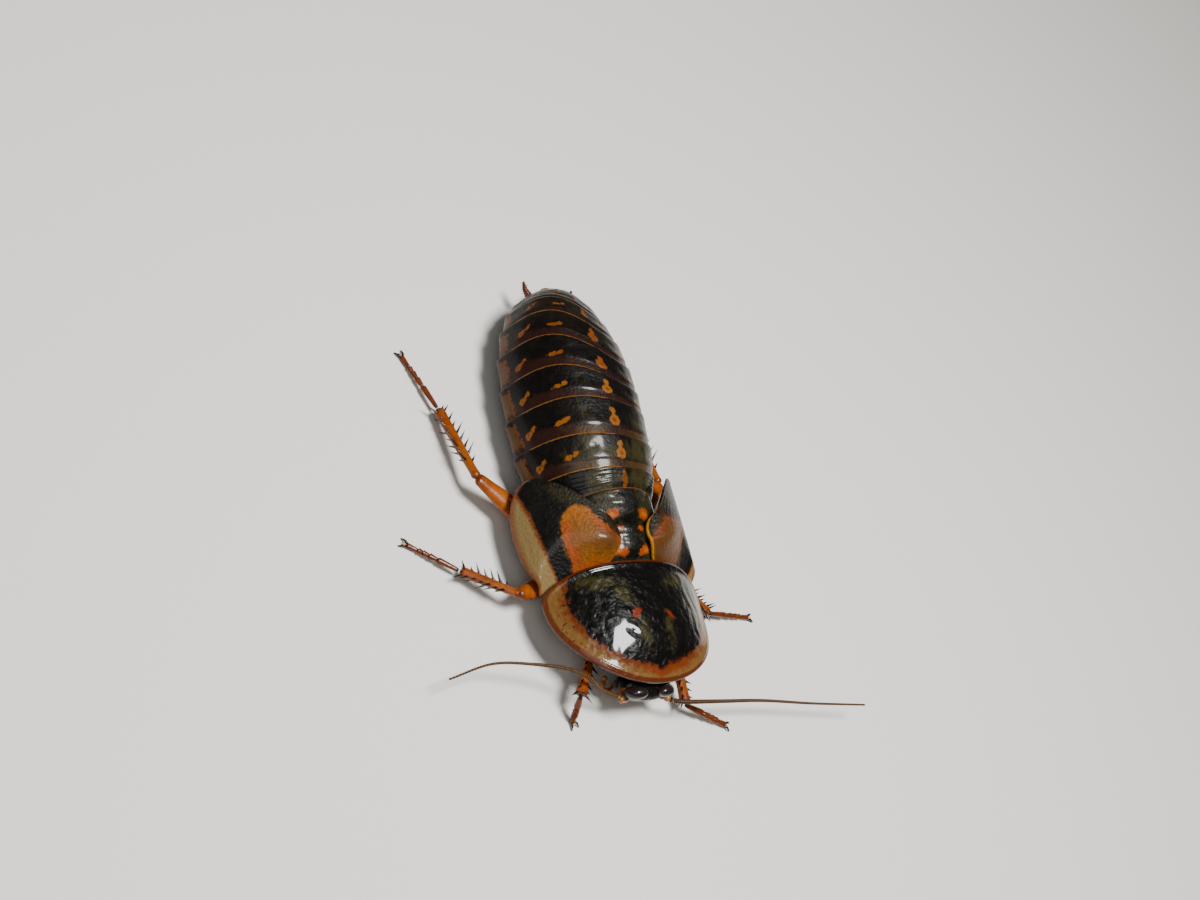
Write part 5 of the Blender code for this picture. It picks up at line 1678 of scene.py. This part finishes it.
    def build_tibia(self, knee: Points, ankle: Points) -> None:
        """Builds the shin with its rows of long black spines and a crown of them round its end."""
        start, end = self.shorten(knee, ankle, -0.1, 0.1)
        line, radii, grid = self.limb(start, end, self.tibia_widths, self.size.tibia, 0.9, rows=80)
        t = shares(len(line))
        name = "tibia_" + self.name
        piece = Piece(name + "_shin", (SHIN_CHITIN, SPINE_CHITIN, BRISTLE_CHITIN))
        joint = np.maximum(0.06 - t, t - 0.95)[:, None] * 5
        piece.add_grid(grid, marks={"joint": joint, "pale": (0.2 - np.abs(t - 0.3))[:, None]})
        count = self.size.spines_per_row
        for row, turn in enumerate(self.spine_rows):
            for number in range(count):
                place = 0.22 + 0.62 * (number + row / 3) / (count - 1) * 0.94
                self.spine_at(piece, start, end, min(place, 0.86), turn + 8 * (number % 2))
        for turn in self.spine_crown:
            self.spine_at(piece, start, end, 0.93, turn)
        add_bristles(piece, line, radii, count=150, length=0.22, finish=2, seed=7 + len(self.name),
                     thick=0.014)
        piece.build(Slot.SHIN, (name,))

    def spine_at(self, piece: Piece, start: Points, end: Points, place: float, turn: float) -> None:
        """Sets one spine of the shin, shorter where it would meet the floor.

        Args:
            piece: the piece that carries it.
            start: where the shin begins.
            end: where it ends.
            place: how far along the shin the spine stands, as a share.
            turn: its angle round the shin, in degrees.
        """
        ahead = unit(end - start)
        across = level_side(ahead)
        out = math.cos(math.radians(turn)) * across + math.sin(math.radians(turn)) * np.cross(across, ahead)
        root = start + (end - start) * place + out * self.size.tibia * 0.62
        lean = unit(out + 0.85 * ahead)
        reach = self.size.spine * (0.85 + 0.3 * math.sin(7.3 * place + turn))
        tip_height = root[2] + lean[2] * reach
        if tip_height < 0.12:
            reach *= max(0.25, (root[2] - 0.12) / (root[2] - tip_height))
        self.add_spine(piece, root, lean, reach, self.spine_radius)

    def build_tarsus(self, ankle: Points, toe: Points) -> None:
        """Builds the foot: one long joint, three short ones and the claw joint, with pale pads."""
        name = "tarsus_" + self.name
        piece = Piece(name + "_foot", (FOOT_CHITIN, SPINE_CHITIN, PAD_SKIN, BRISTLE_CHITIN))
        radius = self.size.tarsus
        ahead = unit(toe - ankle)
        begin = ankle + ahead * 0.02
        end = toe + upwards(radius * 0.75)
        steps = self.foot_steps
        middle = begin + (end - begin) * 0.5 + upwards(0.05)
        whole = even_steps(curve_through([begin, middle, end], steps), steps)
        bounds = [int(share * (steps - 1)) for share in self.foot_joints]
        for first, last in zip(bounds[:-1], bounds[1:]):
            claw_joint = last == bounds[-1]
            line = whole[first:last + 1]
            t = shares(len(line))
            club = np.interp(t, (0, 0.12, 0.8, 0.94, 1), (0.55, 0.72, 1.0, 1.02, 0.62))
            grid = keep_above(tube_grid(line, radius * club * (0.92 if claw_joint else 1.0), 22, 0.9), 0.02)
            piece.add_grid(grid, marks={"joint": (np.maximum(0.12 - t, t - 0.95) * 2)[:, None]})
            if not claw_joint:
                self.add_pad(piece, line[-1], ahead, radius)
        self.add_claws(piece, whole[-1], unit(ahead * (1, 1, 0)))
        add_bristles(piece, whole, np.full(steps, radius * 0.9), count=90, length=0.16, finish=3,
                     seed=11 + len(self.name), thick=0.012, span=(0.02, 0.9))
        piece.build(Slot.SHIN, (name,))

    @staticmethod
    def add_pad(piece: Piece, end: Points, ahead: Points, radius: float) -> None:
        """Adds the pale cushion below the end of a foot joint."""
        level = max(end[2] - radius * 0.85, 0.16)
        side = level_side(ahead)
        up = np.cross(side, ahead)
        centre = np.array((end[0], end[1], level)) - ahead * 0.12
        grid = ball_grid(centre, np.stack([side, up, ahead]), (radius * 0.62, 0.14, 0.2), rows=10, columns=16)
        piece.add_grid(keep_above(grid, 0.0), finish=2)

    def add_claws(self, piece: Piece, end: Points, ahead: Points) -> None:
        """Adds the two hooked claws and the soft lobe between them."""
        side = level_side(ahead)
        long = ahead * self.claw_length
        for way in (-side, side):
            line = curve_through([end - ahead * 0.1 + way * 0.1,
                                  end + long * 0.35 + way * 0.26 + upwards(0.1),
                                  end + long * 0.8 + way * 0.4 - upwards(end[2] * 0.3),
                                  end + long + way * 0.4 - upwards(end[2] - 0.05)], 20)
            radii = np.interp(shares(20), (0, 0.3, 1), (0.14, 0.12, 0.02))
            piece.add_grid(keep_above(tube_grid(line, radii, 12), 0.0), finish=1)
        lobe = np.array((end[0], end[1], 0.14)) + ahead * 0.22
        grid = ball_grid(lobe, np.stack([side, upwards(1.0), ahead]), (0.2, 0.14, 0.26), 10, 16)
        piece.add_grid(grid, finish=2)


LEG_SIZES = {
    "front": LegSize(0.55, 0.74, 0.5, 0.35, 5, 1.0),
    "middle": LegSize(0.66, 0.95, 0.45, 0.3, 6, 1.15),
    "hind": LegSize(0.7, 1.1, 0.5, 0.3, 7, 1.25),
}

# Hip, elbow, knee, ankle and toe of each leg as it stands in the pose.
LEG_POSES = {
    "front_left": ((1.3, 4.9, 2.2), (3.45, 8.4, 1.4), (5.0, 3.5, 3.1), (5.85, -1.1, 1.5), (10.8, -3.0, 0)),
    "front_right": ((-1.3, 4.9, 2.2), (-3.6, 8.45, 1.4), (-4.8, 3.7, 3.2), (-6.85, 0.1, 3.0),
                    (-6.4, -1.3, 0)),
    "middle_left": ((1.6, 9.7, 1.75), (4.6, 11.8, 1.4), (8.7, 10.2, 2.4), (12.1, 7.95, 1.1), (17.6, 7.6, 0)),
    "middle_right": ((-1.6, 9.7, 1.75), (-4.6, 11.8, 1.4), (-10.5, 10.15, 2.9), (-14.95, 13.4, 1.0),
                     (-19.2, 16.3, 0)),
    "hind_left": ((1.7, 13.3, 1.75), (5.0, 16.3, 1.4), (9.6, 21.3, 2.3), (8.9, 29.3, 0.95), (9.2, 35.0, 0)),
    "hind_right": ((-1.7, 13.3, 1.75), (-5.0, 16.3, 1.4), (-11.8, 21.7, 2.9), (-12.95, 29.8, 1.0),
                   (-14.95, 35.5, 0)),
}

# Each row: place along, half width, margin height, arch height, belly drop and ridge.
THORAX = (
    ThoraxPlate("prothorax", (
        (2.7, 2.2, 4.9, 0.8, 1.0, 0), (4.2, 3.6, 4.5, 1.7, 1.2, 0), (6.5, 4.9, 4.1, 2.2, 1.2, 0),
        (8.6, 5.6, 3.8, 2.2, 1.0, 0))),
    ThoraxPlate("mesothorax", (
        (8.9, 5.6, 3.5, 2.0, 0.8, 0), (10.6, 6.0, 3.3, 2.3, 0.6, 0), (11.35, 6.2, 3.3, 3.2, 0.6, 0.0),
        (11.8, 6.1, 3.2, 3.8, 0.5, 0.2), (12.6, 6.2, 3.2, 4.2, 0.5, 0.35), (14.0, 6.3, 3.2, 4.4, 0.5, 0.45),
        (14.75, 6.2, 3.2, 4.5, 0.5, 0.4)),
        embers=(((1.5, 12.3), (0.85, 0.4), 20), ((1.25, 14.25), (0.34, 0.26), 0)),
        cores=(((1.6, 12.3), (0.4, 0.16), 20),)),
    # The metathorax carries a painted highlight along its rear rim.
    ThoraxPlate("metathorax", (
        (14.2, 6.2, 3.3, 3.9, 0.6, 0.2), (14.9, 6.3, 3.3, 4.2, 0.6, 0.35), (15.4, 6.4, 3.3, 4.65, 0.6, 0.4),
        (16.4, 6.3, 3.3, 5.2, 0.6, 0.3), (17.3, 6.1, 3.3, 5.5, 0.6, 0.1), (17.95, 5.9, 3.3, 5.6, 0.6, 0.0)),
        embers=(((1.95, 15.6), (0.8, 0.46), -8),), cores=(((2.0, 15.6), (0.35, 0.2), 0),), rim_highlight_from=17.85),
)

FEELER_ROUTES = {
    LEFT: ((2.35, -0.6, 3.05), (3.0, -1.0, 3.2), (4.5, -1.4, 3.5), (9, -1.6, 3.3), (14, -1.85, 3.1),
           (20, -2.55, 3.0), (26.5, -3.3, 3.3)),
    RIGHT: ((-2.35, -0.6, 3.05), (-2.95, -0.4, 3.3), (-5, 0.35, 3.8), (-6.35, 1.15, 4.5), (-8.3, 2.2, 4.5),
            (-11.6, 3.1, 4.0), (-15.5, 3.6, 3.4), (-20, 2.6, 3.1)),
}

PALP_ROUTES = {
    LEFT: ((1.7, 1.4, 1.25), (2.6, 0.8, 1.1), (3.0, 1.1, 0.9), (3.1, 1.9, 0.8)),
    RIGHT: ((-1.7, 1.3, 1.2), (-2.7, 0.9, 1.35), (-3.15, 1.3, 1.65), (-2.8, 2.2, 2.05)),
}


@dataclass
class Studio:
    """A pale floor, soft light and the camera at the photo's viewing angle.

    Places are in body millimetres, and the camera's directions are unit vectors in the same frame.
    """
    lens: float = 57.0
    sensor: float = 36.0
    place: tuple = (-105.95, -40.52, 135.85)
    right: tuple = (0.8052, -0.2528, 0.5364)
    down: tuple = (0.0073, -0.9003, -0.4353)
    forward: tuple = (0.5929, 0.3544, -0.7231)
    floor_size: float = 3.0    # metres
    lamps: tuple = (("top_lamp", (9, -4, 241), 70, 1.2), ("fill_lamp", (-110, -60, 150), 120, 0.1))
    lamp_aim: tuple = (0, 16, 4)
    sky: str = "DDE2E6"
    sky_strength: float = 0.1

    def build(self) -> None:
        """Builds the camera, the floor and the lights."""
        self.set_camera()
        self.set_floor()
        self.set_lights()

    def world_point(self, point: tuple) -> tuple[float, float, float]:
        """Turns a point in body millimetres into scene metres."""
        return tuple((np.array(point) + ORIGIN) * MM)

    def set_camera(self) -> None:
        """Places the camera, with no shift and no depth of field."""
        data = bpy.data.cameras.new("photo_camera")
        data.lens = self.lens
        data.sensor_width = self.sensor
        data.clip_start = 0.005
        data.clip_end = 20.0
        camera = bpy.data.objects.new("photo_camera", data)
        x, y, z = self.world_point(self.place)
        columns = (self.right, tuple(-v for v in self.down), tuple(-v for v in self.forward))
        turn = Matrix(columns).transposed().to_4x4()
        camera.matrix_world = Matrix.Translation((x, y, z)) @ turn
        bpy.context.scene.collection.objects.link(camera)
        bpy.context.scene.camera = camera

    def set_floor(self) -> None:
        """Lays a plain pale floor of matt painted board."""
        half = self.floor_size / 2
        corners = [(-half, -half, 0), (half, -half, 0), (half, half, 0), (-half, half, 0)]
        mesh = bpy.data.meshes.new("floor")
        mesh.from_pydata(corners, [], [(0, 1, 2, 3)])
        material = bpy.data.materials.new("floor_matt_paint")
        material.use_nodes = True
        shader = material.node_tree.nodes["Principled BSDF"]
        shader.inputs["Base Color"].default_value = linear("D8D5CE")
        shader.inputs["Roughness"].default_value = 0.75
        mesh.materials.append(material)
        floor = bpy.data.objects.new("floor", mesh)
        bpy.context.scene.collection.objects.link(floor)

    def set_lights(self) -> None:
        """Hangs one soft lamp over the animal and a weak fill near the camera, under a pale sky.

        A lamp's row gives its name, its place, its width in mm and its power in watts.
        """
        for name, place, size, power in self.lamps:
            data = bpy.data.lights.new(name, "AREA")
            data.size = size * MM
            data.energy = power
            lamp = bpy.data.objects.new(name, data)
            lamp.location = self.world_point(place)
            aim = np.array(self.world_point(self.lamp_aim)) - np.array(lamp.location)
            lamp.rotation_euler = Matrix(look_along(aim)).to_euler()
            bpy.context.scene.collection.objects.link(lamp)
        world = bpy.data.worlds.new("studio")
        world.use_nodes = True
        background = world.node_tree.nodes["Background"]
        background.inputs["Color"].default_value = linear(self.sky)
        background.inputs["Strength"].default_value = self.sky_strength
        bpy.context.scene.world = world


def look_along(aim: Points) -> list:
    """Gives the rows of a turn whose -Z axis points along aim."""
    back = -unit(aim)
    right = unit(np.cross((0, 0, 1.0), back))
    return np.stack([right, np.cross(back, right), back], axis=1).tolist()


def build_roach() -> None:
    """Builds the studio, then every part of the animal in order from head to tail."""
    logging.basicConfig(level=logging.INFO, format="%(name)s %(message)s")
    Studio().build()
    LOG.info("studio set")
    head = Head()
    head.build()
    for side in (LEFT, RIGHT):
        Palps(side, head, PALP_ROUTES[side]).build()
        Feeler(side, FEELER_ROUTES[side]).build()
    shield = Shield()
    shield.build()
    for side in (LEFT, RIGHT):
        WingStub(side, shield).build()
    for plate in THORAX:
        plate.build()
    Abdomen().build()
    TailEnd().build()
    for name, pose in LEG_POSES.items():
        pair, side_name = name.split("_")
        Leg(name, LEFT if side_name == "left" else RIGHT, LEG_SIZES[pair], *pose).build()


if __name__ == "__main__":
    build_roach()
